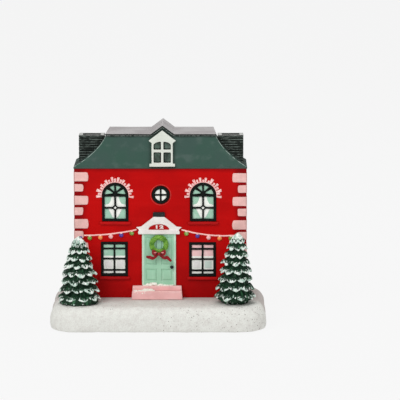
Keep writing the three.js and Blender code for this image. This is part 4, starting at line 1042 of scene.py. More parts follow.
def skin(bm, rows, material=0, caps=True):
    """Faces between rows of points that close on themselves, and over both ends."""
    for below, above in zip(rows, rows[1:]):
        for i in range(len(below)):
            j = (i + 1) % len(below)
            bm.faces.new((below[i], below[j], above[j], above[i])).material_index = material
    if caps:
        for row in (rows[0], rows[-1]):
            if len(row) > 2:
                bm.faces.new(row).material_index = material


def full_turn(count):
    """Angles evenly spaced round a full turn."""
    return [2 * math.pi * k / count for k in range(count)]


def lathe(bm, profile, centre, along, segments, material=0):
    """Round piece from a profile of radius and distance along a direction, closed at both ends."""
    along = Vector(along).normalized()
    across = along.orthogonal().normalized()
    other = along.cross(across)
    rows = []
    for radius, out in profile:
        middle = Vector(centre) + along * out
        rows.append([
            bm.verts.new(middle + (across * math.cos(a) + other * math.sin(a)) * radius)
            for a in full_turn(segments)
        ])
    skin(bm, rows, material)


def dome_profile(radius, rise):
    """Profile of a flattened half ball on a flat back."""
    steps = 7
    turns = [math.pi / 2 * k / steps for k in range(steps)]
    return [(radius * math.cos(t), rise * math.sin(t)) for t in turns] + [(0.03 * radius, rise)]


def tube(bm, points, half_width, half_depth):
    """Tube of an oval section along points on the house front, with closed ends."""
    rows = []
    for i, point in enumerate(points):
        ahead = points[min(i + 1, len(points) - 1)] - points[max(i - 1, 0)]
        across = Vector((-ahead.z, 0.0, ahead.x)).normalized()
        rows.append([
            bm.verts.new(
                point + across * half_width * math.cos(a) + Vector((0.0, -half_depth * math.sin(a), 0.0))
            )
            for a in full_turn(12)
        ])
    skin(bm, rows)


def remeshed(bm, voxel, smooth_rounds):
    """Fuses a mesh in the making into one even skin and smooths it."""
    mesh = bpy.data.meshes.new("draft")
    bm.to_mesh(mesh)
    bm.free()
    obj = bpy.data.objects.new("draft", mesh)
    bpy.context.scene.collection.objects.link(obj)
    modifier = obj.modifiers.new("Remesh", "REMESH")
    modifier.mode = "VOXEL"
    modifier.voxel_size = voxel
    result = new_mesh()
    result.from_object(obj, bpy.context.evaluated_depsgraph_get())
    bpy.data.objects.remove(obj)
    bpy.data.meshes.remove(mesh)
    for _ in range(smooth_rounds):
        bmesh.ops.smooth_vert(
            result, verts=result.verts, factor=0.5, use_axis_x=True, use_axis_y=True, use_axis_z=True
        )
    return result


def rectangle(left, bottom, right, top):
    """Corners of a rectangle, anticlockwise."""
    return [(left, bottom), (right, bottom), (right, top), (left, top)]


# Base, felt, dish and firs


BASE_VOXEL = 0.75


def is_under_walls(spot):
    """Whether a spot lies under the walls, or so near their inside that a slope from it would reach them."""
    half_depth = (WALL_HIGH.y - WALL_LOW.y) / 2
    across, along = abs(spot.x - HOUSE_X), abs(spot.y - HOUSE_Y)
    if across > HALF_WALL + 0.2 or along > half_depth + 0.2:
        return False
    margin = WALL_THICKNESS + BASE_VOXEL
    return across > HALF_WALL - margin or along > half_depth - margin


def build_snow_base():
    """Cast base with a dented, granular coat of snow that stays below the foot of the walls."""
    dents = house_sizes().snow_dents / MM
    bm = remeshed(node_mesh("snow_base"), BASE_VOXEL, 2)
    bm.normal_update()
    low, high = corners("snow_base")
    for vert in bm.verts:
        p = vert.co
        outside = max(abs(p.x - HOUSE_X) - HALF_WALL, FRONT - p.y, p.y - WALL_HIGH.y, 0.0)
        open_snow = min(outside / 3.0, 1.0)
        lumps = 0.5 + 0.5 * noise.noise(p / 6.5) + 0.35 * noise.noise(p / 1.6)
        depth = max(0.0, min(lumps, 1.3)) * (0.12 + open_snow) / 1.12
        vert.co = p - vert.normal * dents * depth
        vert.co.x = min(max(vert.co.x, low.x), high.x)
        vert.co.y = min(max(vert.co.y, low.y), high.y)
        vert.co.z = min(max(vert.co.z, low.z), high.z)
        if is_under_walls(vert.co):
            vert.co.z = min(vert.co.z, FOOT - 0.02)
    piece("snowy_base", bm, [base_snow()], "base", ["snow_base"], 60)


def build_felt():
    """Felt sheet glued under the base."""
    bm = cad_mesh("felt_sheet")
    face_up = sum(face.calc_area() for face in bm.faces if face.normal.z > 0.5) * MM * MM
    low, high = corners("felt_sheet")
    refine(bm, 2.5)
    noise.seed_set(NOISE_SEED)
    for vert in bm.verts:
        fray = noise.noise_vector(vert.co / 0.9)
        vert.co += Vector((0.12 * fray.x, 0.12 * fray.y, 0.0))
        vert.co.z = min(max(vert.co.z, low.z), high.z - 0.05)
    felt = piece("felt_underlay", bm, [felt_fibre()], "base", ["felt_sheet"])


def build_dish():
    """Spun dish for the cone, with a rolled lip and turned rings in its floor."""
    low, high = corners("incense_dish")
    middle = (low + high) / 2
    radius, height, wall = (high.x - low.x) / 2, high.z - low.z, 0.8
    foot = radius - 2.0
    lip = [(radius - wall, height - wall), (radius, height - 0.75 * wall), (radius, height - 0.25 * wall),
           (radius - 0.3, height), (radius - 1.5 * wall, height), (radius - 1.9 * wall, height - 0.2)]
    floor = [(foot - wall + 0.3, wall + 0.25), (foot - wall - 0.4, wall)]
    rings = []
    for turn in range(5):
        inner = (foot - wall - 1.0) * (1 - turn / 5)
        rings += [(inner, wall), (inner - 0.3, wall - 0.12), (inner - 0.6, wall)]
    profile = [(0.05, 0.0), (foot - 0.3, 0.0), (foot, 0.25), *lip, *floor, *rings, (0.05, wall)]
    bm = new_mesh()
    lathe(bm, profile, (middle.x, middle.y, low.z), (0, 0, 1), 72)
    piece("brass_dish", bm, [dish_brass()], "dish", ["incense_dish"], 50)


FIR_TIERS = 8
FIR_CAP = 5.3
FIR_SHAPES = {"left": (9.1, 1.7, 11.0, 0.0), "right": (6.0, 2.5, 10.6, 1.3)}


def fir_tier(tier, height, radius, foot, lowest_tip, boughs, columns, rng):
    """Rows of one tier of scalloped boughs as lists of (radius, height, snow), from below to its top."""
    down = tier / (FIR_TIERS - 1)
    reach = radius * (0.36 + 0.64 * down**0.8)
    tip = height - FIR_CAP - (height - FIR_CAP - lowest_tip) * down**1.1
    droop = 1.0 + 0.6 * down
    lowest = tier == FIR_TIERS - 1
    inner = max(0.86 * reach, foot) if lowest else 0.68 * reach
    lengths = [rng.uniform(0.55, 1.15) for _ in range(boughs)]
    drops = [rng.uniform(-0.45, 0.35) for _ in range(boughs)]
    loads = [rng.uniform(0.68, 1.25) + 0.35 * (1 - down) for _ in range(boughs)]
    widths = [rng.uniform(-0.16, 0.16) for _ in range(boughs)]
    rows = [[] for _ in range(9)]
    for i in range(columns):
        turn = i / columns * boughs + (tier % 2) * 0.5 + 0.13 * tier
        bough = int(turn) % boughs
        along = turn % 1.0
        shift = widths[bough] * (1 - abs(2 * along - 1))
        # 1 in the middle of a bough and 0 in the valley beside it
        point = 1 - abs(2 * (along + shift) - 1) ** 1.5
        angle = 2 * math.pi * i / columns
        lean = 1 + 0.03 * math.sin(3 * angle + 1.7 * tier)
        edge = reach * (0.84 + 0.17 * point * lengths[bough]) * lean
        edge_z = tip + 0.1 + droop * (1 - point) + drops[bough] * point
        top, top_z = reach * 0.68 * lean, tip + 1.1 + 1.15 * droop
        load = loads[bough] * (0.75 + 0.25 * point)
        crest = load * (0.55 + 0.45 * point)
        if tier == 0:
            load = crest = 0.95
        rows[0].append((inner * lean, tip - 0.2 if lowest else tip + 0.45 * droop, 0.0))
        rows[1].append(((inner + edge) / 2, edge_z + 0.35, 0.0))
        rows[2].append((edge - 0.35, edge_z + 0.02, 0.45 * load))
        rows[3].append((edge + 0.02, edge_z + 0.1, 0.95 * load))
        rows[4].append((edge + 0.12, edge_z + 0.45, 1.0 * crest))
        rows[5].append((edge - 0.08, edge_z + 0.9, 0.72 * crest))
        rows[6].append((edge * 0.945, edge_z + 1.5, 0.42 * crest))
        rows[7].append(((edge * 0.92 + top) / 2, (edge_z + 1.6 + top_z) / 2, 0.25 * crest + 0.04))
        rows[8].append((top, max(top_z, edge_z + 1.8), 0.8 if tier == 0 else 0.05))
    return rows


def build_fir(side, seed):
    """Fir of tiers of drooping boughs, snow on their edges and over the top."""
    node = f"tree_{side}"
    low, high = corners(node)
    foot, lowest_tip, radius, lean = FIR_SHAPES[side]
    height = high.z - low.z
    middle = Vector(((low.x + high.x) / 2, (low.y + high.y) / 2, low.z))
    boughs = house_sizes().tree_boughs
    columns = boughs * 18
    rng = random.Random(seed)
    # the lowest boughs touch the ground in rounded lobes
    lobes = [1.1 * abs(math.sin(math.pi * boughs * i / columns)) for i in range(columns)]
    rows = [[(foot - 0.9 + lobe, 0.0, 0.0) for lobe in lobes]]
    rows.append([(foot - 0.5 + lobe, 0.3, 0.26) for lobe in lobes])
    rows.append([(foot + 0.2 + 0.6 * lobe, 0.5 * lowest_tip, 0.3) for lobe in lobes])
    for tier in reversed(range(FIR_TIERS)):
        rows += fir_tier(tier, height, radius, foot, lowest_tip, boughs, columns, rng)
    last_radius = min(value[0] for value in rows[-1])
    last_height = max(value[1] for value in rows[-1])
    cap_steps = 8
    for k in range(1, cap_steps + 1):
        share = k / cap_steps
        swell = last_radius * (1 - share) ** 1.1 + 0.35
        rows.append([(swell, last_height + (height - 0.15 - last_height) * share, 0.82)] * columns)
    bm = new_mesh()
    snow_layer = bm.verts.layers.float.new("snow")
    made = []
    for k, row in enumerate(rows):
        line = []
        for i, (r, z, snow) in enumerate(row):
            angle = 2 * math.pi * i / columns
            out = Vector((math.cos(angle), math.sin(angle), 0.0))
            spot = middle + out * r + Vector((lean * (z / height) ** 1.6, 0.0, z))
            ring = Vector((out.x, out.y, 0.0)) * 6.0
            needles = noise.noise(ring + Vector((seed, 0.0, z * 0.3)))
            tufts = noise.noise(ring * 2.4 + Vector((0.0, seed, z * 0.45)))
            if k > 1:
                spot += out * (0.3 * needles + 0.2 * tufts) * min(r / 4, 1.0)
                spot.z += 0.3 * noise.noise(spot / 1.1) * min(snow * 2, 1.0)
            else:
                spot += out * (0.8 * tufts + 0.4 * needles)
            vert = bm.verts.new(spot)
            vert[snow_layer] = snow * (1 + 0.7 * noise.noise(spot / 1.9)) + 0.2 * tufts * min(4 * snow, 1.0)
            line.append(vert)
        made.append(line)
    skin(bm, made)
    for vert in bm.verts:
        vert.co.z = max(vert.co.z, low.z)
    for face in bm.faces:
        if face.calc_center_median().z < low.z + 0.2:
            face.material_index = 1
    piece(f"snowy_fir_{side}", bm, [fir_paint(), fir_foot_paint()], "base", [node], 80)


# Walls, roof and chimneys


def is_inside(face):
    """Whether a face lines the hollow of the house."""
    spot = face.calc_center_median()
    margin = WALL_THICKNESS - 0.4
    across = abs(spot.x - HOUSE_X) < HALF_WALL - margin
    return across and WALL_LOW.y + margin < spot.y < WALL_HIGH.y - margin


def build_walls():
    """Red walls with soft edges; the hollow inside is left unpainted."""
    bm = softened("house_walls", house_sizes().edge_round / MM, 0.1)
    for face in bm.faces:
        if is_inside(face):
            face.material_index = 1
    even_normals(piece("painted_walls", bm, [wall_paint(), raw_cast()], "house", ["house_walls"]))


def build_roof():
    """Mansard roof: brushed front and back, streaked side slopes."""
    bm = softened("mansard_roof", 0.24, 0.0, 2, 24.0)
    bm.normal_update()
    edge_layer = bm.faces.layers.float["edge"]
    middle = Vector((HOUSE_X, HOUSE_Y, EAVES + 4))
    for face in bm.faces:
        spot = face.calc_center_median()
        # the painted edge highlight and shade are kept only on front edges above the eave
        if spot.z < EAVES + 1.2 or spot.y > FRONT + 3:
            face[edge_layer] = 0.0
        if face.normal.dot(middle - spot) > 0:
            face.material_index = 2
        elif abs(face.normal.x) > 0.3 and face[edge_layer] < 0.5:
            face.material_index = 1
    finishes = [roof_paint(), slope_paint(), raw_cast()]
    even_normals(piece("painted_roof", bm, finishes, "house", ["mansard_roof"]))


def build_capping():
    """Grey capping over the deck and the gable, its grey a painted reflection, dark along its front edge."""
    bm = softened("deck_capping", 0.18, 0.0, 2, 20.0)
    # front faces take the dark green edge, the rest the grey of the painted reflection
    for face in bm.faces:
        if face.normal.y < -0.9:
            face.material_index = 1
    refine(bm, 4.0)
    sway(bm, 0.1, 9.0, 4.0, (0.5, 0.5, 1.0))
    top = corners("deck_capping")[1].z
    for vert in bm.verts:
        vert.co.z = min(vert.co.z, top)
    finishes = [deck_reflection_paint(), deck_edge_paint()]
    even_normals(piece("grey_capping", bm, finishes, "house", ["deck_capping"]))


CHIMNEY_WALL = 2.0


def build_chimney(side):
    """Dry-brushed brick stack with a pale rim top, a painted reflection, and a near-black flue."""
    node = f"chimney_{side}"
    low, high = corners(node)
    middle = (low + high) / 2
    reach = CHIMNEY_WALL - 0.15
    half = Vector(((high.x - low.x) / 2 - reach, (high.y - low.y) / 2 - reach))
    bm = softened(node, 0.1, 0.0, 1)
    for face in bm.faces:
        spot = face.calc_center_median()
        in_flue = abs(spot.x - middle.x) < half.x and abs(spot.y - middle.y) < half.y
        if in_flue and spot.z < high.z - 0.05:
            face.material_index = 2
        # top faces of the rim take the pale painted reflection
        elif spot.z > high.z - 0.02 and face.normal.z > 0.8:
            face.material_index = 1
    finishes = [chimney_paint(), chimney_rim_reflection(), flue_black()]
    even_normals(piece(f"brick_chimney_{side}", bm, finishes, "house", [node]))


DORMER_PANE_EDGE = 3.95


def build_dormer():
    """White dormer front, with its dark panes behind it; the black plate that shows round each pane is
    painted shade.
    """
    bm = hand_shaped("dormer_frame", 0.17, 1, 0.07, 3.0, 2.0)
    piece("white_dormer", bm, [trim_paint()], "house", ["dormer_frame"], 50)
    # black plate round the dormer panes: painted shade
    back_plate("dormer_panes")
    panes = new_mesh()
    low, high = corners("dormer_panes")
    near, far = 1.15, DORMER_PANE_EDGE
    rail = EAVES + 9.15
    for side in (-1, 1):
        lower_pane = rectangle(near, low.z + 0.95, far, rail - 1.15)
        upper_pane = [(near, rail + 1.15), (far, rail + 1.15), (far, high.z - 2.2), (far - 0.9, high.z - 1.3),
                      (near, high.z - 0.95)]
        for points in (lower_pane, upper_pane):
            outline = rounded(mirrored(points, DORMER_X, side), 0.45)
            tablet(panes, outline, 0.16, 0.06, on_front(low.y + 0.02))
    piece("dormer_glass_panels", panes, [dormer_glass()], "house")


# Windows

FRAME_BORDER, BAR, PANE_DEPTH = 1.1, 0.7, 0.5
LOZENGE = 1.0
PANEL_GAP = 0.05


def frame_lines(node, name, change=None, swell=0.0):
    """Window frame and bars, thick and slightly wandering as black lines drawn by hand."""
    bm = hand_shaped(node, 0.16, 2, house_sizes().hand_sway / MM, 1.9, 5.0 + len(node))
    bm.normal_update()
    for vert in bm.verts if swell else ():
        vert.co += Vector((vert.normal.x, 0.0, vert.normal.z)) * swell
    for vert in bm.verts if change else ():
        change(vert)
    piece(name, bm, [line_paint()], "house", [node], 75)


def panel(bm, points, material, layer=0):
    """One painted pane between the bars. A higher layer stands further out."""
    lift = 0.28 + 0.07 * layer
    outline = rounded(points, max(0.45 - 0.1 * layer, 0.15))
    tablet(bm, outline, lift, 0.05, on_front(FRONT + PANE_DEPTH), material)


def mirrored(points, middle, side):
    """Points given outwards from the middle, on one side, anticlockwise."""
    placed = [(middle + side * across, up) for across, up in points]
    return placed if side > 0 else placed[::-1]


def arched_lights(side_name):
    """Painted panes of an arched window: fan lights, curtains drawn aside with grey painted shade along their
    edges, and a white lozenge.
    """
    low, high = corners(f"arched_window_frame_{side_name}")
    x, half = (low.x + high.x) / 2, (high.x - low.x) / 2
    transom, crossing = high.z - half, low.z + 6.7
    mint, cream, grey = 0, 1, 2
    bm = new_mesh()
    near, far = BAR / 2 + PANEL_GAP, half - FRAME_BORDER - PANEL_GAP
    for side in (-1, 1):
        # upper light: cream with a mint corner; lower light: mint with a cream wedge
        bottom, top = crossing + BAR / 2 + PANEL_GAP, transom - BAR / 2 - PANEL_GAP
        panel(bm, mirrored(rectangle(near, bottom, far, top), x, side), cream)
        corner = [
            (far, bottom + 1.1), (far, top), (near + 1.3, top),
            (near + 1.9, top - 2.2), (near + 2.8, bottom + 1.6),
        ]
        panel(bm, mirrored(corner, x, side), mint, 1)
        bottom, top = low.z + FRAME_BORDER + PANEL_GAP, crossing - BAR / 2 - PANEL_GAP
        panel(bm, mirrored(rectangle(near, bottom, far, top), x, side), mint)
        fold = [(near, bottom + 0.2), (near + 0.7, bottom + 0.8), (near + 3.0, top), (near, top)]
        panel(bm, mirrored(fold, x, side), cream, 1)
        # grey painted shade along the edge of the curtain
        curtain_edge_shade = [(near + 0.6, bottom + 0.6), (near + 0.95, bottom + 0.7), (near + 3.2, top), (near + 2.75, top)]
        panel(bm, mirrored(curtain_edge_shade, x, side), grey, 2)
    lozenge = [
        (x - LOZENGE, crossing), (x, crossing - LOZENGE), (x + LOZENGE, crossing), (x, crossing + LOZENGE),
    ]
    panel(bm, lozenge, cream, 5)
    fan_light_panels(bm, x, transom, half, mint)
    finishes = [glass_paint("glass_mint"), glass_paint("curtain_cream"), glass_paint("glass_grey")]
    piece(f"arched_lights_{side_name}", bm, finishes, "house")


def fan_light_panels(bm, x, transom, half, material):
    """Four wedges of glass between the spokes over the transom."""
    hub_z, spoke = transom + 1.0, 43.0
    outer = half - FRAME_BORDER - PANEL_GAP
    inner, margin, steps = 1.1, 5.5, 5
    for start, end in ((2, spoke), (spoke, 90), (90, 180 - spoke), (180 - spoke, 178)):
        points = []
        for degrees in (start + margin * 1.9, end - margin * 1.9):
            a = math.radians(degrees)
            points.append((x + inner * math.cos(a), max(hub_z + inner * math.sin(a), transom + 0.5)))
        arc = []
        for k in range(steps + 1):
            a = math.radians(start + margin + (end - start - 2 * margin) * k / steps)
            arc.append((x + outer * math.cos(a), max(transom + outer * math.sin(a), transom + 0.45)))
        panel(bm, [points[0], *arc, points[1]], material)


LOWER_BARS = (3.25, 8.45, 14.2)
LOWER_BAR_SHIFTS = ((8.8, 0.35), (14.8, 0.6))


def lower_frame(side_name):
    """Lines of a lower window, its two lower bars painted a little high."""
    node = f"lower_window_frame_{side_name}"
    low, high = corners(node)
    half = (high.x - low.x) / 2 - FRAME_BORDER - 0.1
    middle = (low.x + high.x) / 2

    def raise_bars(vert):
        if abs(vert.co.x - middle) < half:
            for drop, lift in LOWER_BAR_SHIFTS:
                away = abs(high.z - drop - vert.co.z)
                vert.co.z += lift * max(0.0, min(1.0, (1.6 - away) / 1.0))

    frame_lines(node, f"lower_lines_{side_name}", raise_bars, 0.1)


def lower_lights(side_name, upper, centre_left, centre_right):
    """Painted panes of a lower window: colour above, framed panes in the middle, white below."""
    low, high = corners(f"lower_window_frame_{side_name}")
    x = (low.x + high.x) / 2
    half = (high.x - low.x) / 2
    colours = [upper, "curtain_cream", centre_left, centre_right]
    levels = [high.z - FRAME_BORDER, *(high.z - bar for bar in LOWER_BARS), low.z + FRAME_BORDER]
    near, far = BAR / 2 + PANEL_GAP, half - FRAME_BORDER - PANEL_GAP
    bm = new_mesh()
    for side in (-1, 1):
        for row, (above, below) in enumerate(zip(levels, levels[1:])):
            top = above - (BAR / 2 if row else 0) - PANEL_GAP
            bottom = below + (BAR / 2 if row < 3 else 0) + PANEL_GAP
            box = rectangle(near, bottom, far, top)
            panel(bm, mirrored(box, x, side), 0 if row < 2 else 1, 2)
            if row == 1:
                strip = [(near, bottom), (far, bottom), (far, bottom + 1.1), (near, bottom + 1.0)]
                panel(bm, mirrored(strip, x, side), 1, 3)
            if row == 2:
                inner = rectangle(near + 0.85, bottom + 0.8, far - 0.85, top - 0.7)
                panel(bm, mirrored(inner, x, side), 2 if side < 0 else 3, 3)
    finishes = [glass_paint(colour) for colour in colours]
    piece(f"lower_lights_{side_name}", bm, finishes, "house")


def round_lights():
    """Four white quarters of the round window, and the red ring round its frame."""
    low, high = corners("round_window_frame")
    x, z, radius = (low.x + high.x) / 2, (low.z + high.z) / 2, (high.x - low.x) / 2
    outer = radius - 1.5 - PANEL_GAP
    bm = new_mesh()
    for quarter in range(4):
        start = math.pi / 2 * quarter
        turn = Matrix.Rotation(start, 2)
        points = [turn @ Vector((0.42, 0.42))]
        for k in range(6):
            a = math.radians(9 + 72 * k / 5)
            points.append(turn @ Vector((outer * math.cos(a), outer * math.sin(a))))
        panel(bm, [(x + p.x, z + p.y) for p in points], 0, 3)
    piece("round_lights", bm, [glass_paint("curtain_cream")], "house")
    ring = new_mesh()
    middle = radius + 0.55
    points = [
        Vector((x + middle * math.cos(a), FRONT, z + middle * math.sin(a)))
        for a in full_turn(72)
    ]
    rows = []
    for point in points:
        out = (point - Vector((x, FRONT, z))).normalized()
        rows.append([
            ring.verts.new(point + out * 0.2 * math.cos(b) + Vector((0.0, -0.24 * math.sin(b), 0.0)))
            for b in full_turn(10)
        ])
    skin(ring, [*rows, rows[0]], caps=False)
    # the moulding's paler red is a painted highlight
    piece("round_window_moulding", ring, [ring_highlight_paint()], "house", sharp=80)


ARCH_BRICKS = 19
ARCH_START = -8.0


def build_brick_arch(side_name, seed):
    """Arch of separate pink bricks, long and short by turns, each laid by hand."""
    low, high = corners(f"arched_window_frame_{side_name}")
    x, half = (low.x + high.x) / 2, (high.x - low.x) / 2
    spring, inner = high.z - half, half + 0.3
    pitch = (180 - 2 * ARCH_START) / ARCH_BRICKS
    rng = random.Random(seed)
    bm = new_mesh()
    for brick in range(ARCH_BRICKS):
        middle = ARCH_START + pitch * (brick + 0.5) + rng.uniform(-1.2, 1.2)
        share = rng.uniform(0.36, 0.45)
        tip = inner + (1.75 if brick % 2 else 2.7) + rng.uniform(-0.35, 0.3)
        points = []
        for radius, lean in ((inner, -0.78), (tip, -1.0), (tip, 1.0), (inner, 0.78)):
            a = math.radians(middle + lean * pitch * share)
            points.append((x + radius * math.cos(a), spring + radius * math.sin(a)))
        tablet(bm, rounded(points, 0.32), 0.5, 0.16, on_front(FRONT), 0, 0.03)
    band_start, band_end = ARCH_START + 0.15 * pitch, 180 - ARCH_START - 0.15 * pitch
    band = []
    for radius, turns in ((inner, range(49)), (inner + 0.4, range(48, -1, -1))):
        for k in turns:
            a = math.radians(band_end + (band_start - band_end) * k / 48)
            band.append(Vector((x + radius * math.cos(a), spring + radius * math.sin(a))))
    tablet(bm, band, 0.22, 0.06, on_front(FRONT))
    piece(f"laid_bricks_{side_name}", bm, [brick_paint()], "house", [f"brick_arch_{side_name}"])


def build_sill(node, name):
    """Red sill with softened, slightly uneven edges."""
    bm = hand_shaped(node, 0.25, 2, 0.12, 3.2, len(name))
    piece(name, bm, [sill_paint()], "house", [node], 75)


def build_corner_block(side_name, side, index):
    """Corner block: a cushioned tablet on the front and another round the side."""
    node = f"quoin_{side_name}_{index}"
    low, high = corners(node)
    outer = high.x if side > 0 else low.x
    inboard = low.x if side > 0 else high.x
    rng = random.Random(100 * index + side)
    jitter = lambda: rng.uniform(-0.22, 0.22)
    bottom, top = low.z, high.z
    front = [
        (outer, bottom + 0.1), (outer, top - 0.05),
        (inboard + 0.3 * side + jitter(), top + jitter() * 0.6 - 0.1),
        (inboard + jitter() * 1.2, (bottom + top) / 2),
        (inboard + 0.25 * side + jitter(), bottom + jitter() * 0.6 + 0.12),
    ]
    front = front[::-1] if side < 0 else front
    bm = new_mesh()
    outline = rounded(front, 0.72, 5)
    outline = square_outer_end(outline, outer)
    tablet(bm, outline, FRONT - low.y, 0.2, on_front(FRONT), 0, 0.02)
    wall = HOUSE_X + side * HALF_WALL
    reach = high.y
    around = [(low.y + 0.05, bottom + 0.1), (reach + jitter(), bottom + 0.15 + jitter() * 0.5),
              (reach + jitter(), top - 0.1 + jitter() * 0.5), (low.y + 0.05, top - 0.05)]
    place = lambda back, up, out: Vector((wall + side * out, back, up))
    tablet(bm, rounded(around, 0.5, 4), abs(outer - wall), 0.1, place, 0)
    piece(f"pink_block_{side_name}_{index}", bm, [block_paint()], "house", [node])


def square_outer_end(outline, outer):
    """Moves the rounded outer corners of a block out to the corner of the house."""
    moved = []
    for point in outline:
        near = abs(point.x - outer) < 0.8
        moved.append(Vector((outer, point.y)) if near else point)
    kept = [p for i, p in enumerate(moved) if (p - moved[i - 1]).length > 1e-4]
    return kept


# Entrance


def build_steps():
    """Pink steps with snow lying against the door and over the left of the tread."""
    bm = softened("front_steps", 0.28, 0.15, 3)
    refine(bm, 2.0)
    sway(bm, 0.12, 4.0, 8.0, (0.8, 0.8, 0.5))
    for vert in bm.verts:
        flare = 0.5 * max(0.0, 1 - (vert.co.z - FOOT) / 6)
        vert.co.x += flare * math.copysign(1.0, vert.co.x - HOUSE_X)
        vert.co.z = max(vert.co.z, FOOT)
        vert.co.y = min(vert.co.y, FRONT)
    even_normals(piece("pink_steps", bm, [step_paint()], "house", ["front_steps"]))
    low, high = corners("front_steps")
    door_low, door_high = corners("front_door")
    rng = random.Random(12)
    heap = new_mesh()

    def lump(x, y, z, wide, deep, tall):
        """One crumb of snow."""
        size = Matrix.Diagonal((wide, deep, tall, 1.0))
        place = Matrix.Translation((x, y, z)) @ size
        bmesh.ops.create_icosphere(heap, subdivisions=2, radius=1.0, matrix=place)

    def crumbs(count, left, right, front, back, floor_z, largest):
        """Crumbs of snow scattered over a strip, heaped where they fall together."""
        for _ in range(count):
            size = largest * rng.uniform(0.4, 1.0)
            lump(
                rng.uniform(left, right), rng.uniform(front, back), floor_z + rng.uniform(0.0, 0.35) * size,
                size, size * rng.uniform(0.6, 1.0), size * rng.uniform(0.35, 0.75),
            )

    # against the door
    crumbs(54, door_low.x + 1.0, door_high.x - 0.4, FRONT - 1.8, FRONT - 1.1, high.z + 0.1, 0.8)
    crumbs(34, door_low.x + 2.6, door_low.x + 10.4, FRONT - 1.7, FRONT - 1.1, high.z + 0.5, 0.95)
    crumbs(10, door_low.x + 4.2, door_low.x + 7.4, FRONT - 1.6, FRONT - 1.1, high.z + 1.3, 0.65)
    # over the left of the tread
    tread_y = FRONT - 2.8
    crumbs(34, low.x + 0.9, low.x + 6.5, tread_y - 2.5, tread_y - 0.5, low.z + 4.15, 0.8)
    crumbs(16, low.x + 5.0, low.x + 10.6, tread_y - 1.9, tread_y - 0.4, low.z + 4.15, 0.75)
    crumbs(20, low.x + 5.5, low.x + 10.8, tread_y - 0.9, tread_y - 0.3, low.z + 4.9, 0.6)
    # hanging over the front edge of the tread
    for left, drop in ((1.3, 0.6), (2.4, 1.0), (3.9, 0.5), (4.9, 1.1), (6.0, 0.8)):
        lump(low.x + left, tread_y - 2.72, low.z + 4.0 - drop * 0.6, 0.55 + 0.2 * drop, 0.4, 0.5 * drop + 0.2)
    heap = remeshed(heap, 0.22, 1)
    sway(heap, 0.1, 0.7, 6.0, (1.0, 1.0, 1.0))
    piece("step_snow", heap, [crumb_snow()], "house", sharp=80)


def build_door():
    """Panelled door: fields raised in their sunk panels, and strips up its edges painted pale as a highlight.
    """
    bm = softened("front_door", 0.16, 0.1, 2)
    door = piece("mint_door", bm, [door_paint()], "house", ["front_door"])
    even_normals(door)
    low, high = corners("front_door")
    x = (low.x + high.x) / 2
    stile, mullion, groove = 1.9, 2.4, 0.5
    lower = (low.z + 2.6, low.z + 8.4)
    upper = (lower[1] + 2.4, high.z - 1.5)
    sunk = low.y + 0.3
    fields = new_mesh()
    edge_layer = fields.faces.layers.float.new("edge")
    for bottom, top in (lower, upper):
        for side in (-1, 1):
            near, far = mullion / 2 + groove, (high.x - low.x) / 2 - stile - groove
            box = mirrored(rectangle(near, bottom + groove, far, top - groove), x, side)
            tablet(fields, rounded(box, 0.2, 2), 0.26, 0.12, on_front(sunk))
    # the sides of the raised fields take part of the painted edge highlight
    for face in fields.faces:
        if face.normal.length and abs(face.normal.y) < 0.8:
            face[edge_layer] = 0.6
    piece("door_fields", fields, [door_paint()], "house")
    strips = new_mesh()
    for side in (-1, 1):
        edge = (high.x - low.x) / 2
        box = mirrored(rectangle(edge - 1.0, low.z + 0.1, edge - 0.05, high.z), x, side)
        tablet(strips, rounded(box, 0.1, 2), 0.14, 0.06, on_front(low.y + 0.01))
    piece("door_edge_strips", strips, [jamb_highlight_paint()], "house")


def build_knob():
    """Turned black knob."""
    low, high = corners("door_knob")
    middle = (low + high) / 2
    r, reach = (high.x - low.x) / 2, high.y - low.y
    profile = [(0.6 * r, 0.0), (0.62 * r, 0.12), (0.42 * r, 0.28 * reach), (0.5 * r, 0.38 * reach)]
    for k in range(9):
        a = -0.9 + (math.pi / 2 + 0.9) * k / 8
        profile.append((max(r * math.cos(a), 0.02), 0.62 * reach + 0.38 * reach * math.sin(a)))
    bm = new_mesh()
    lathe(bm, profile, (middle.x, high.y, middle.z), (0, -1, 0), 28)
    piece("black_knob", bm, [cast_metal()], "house", ["door_knob"], 60)


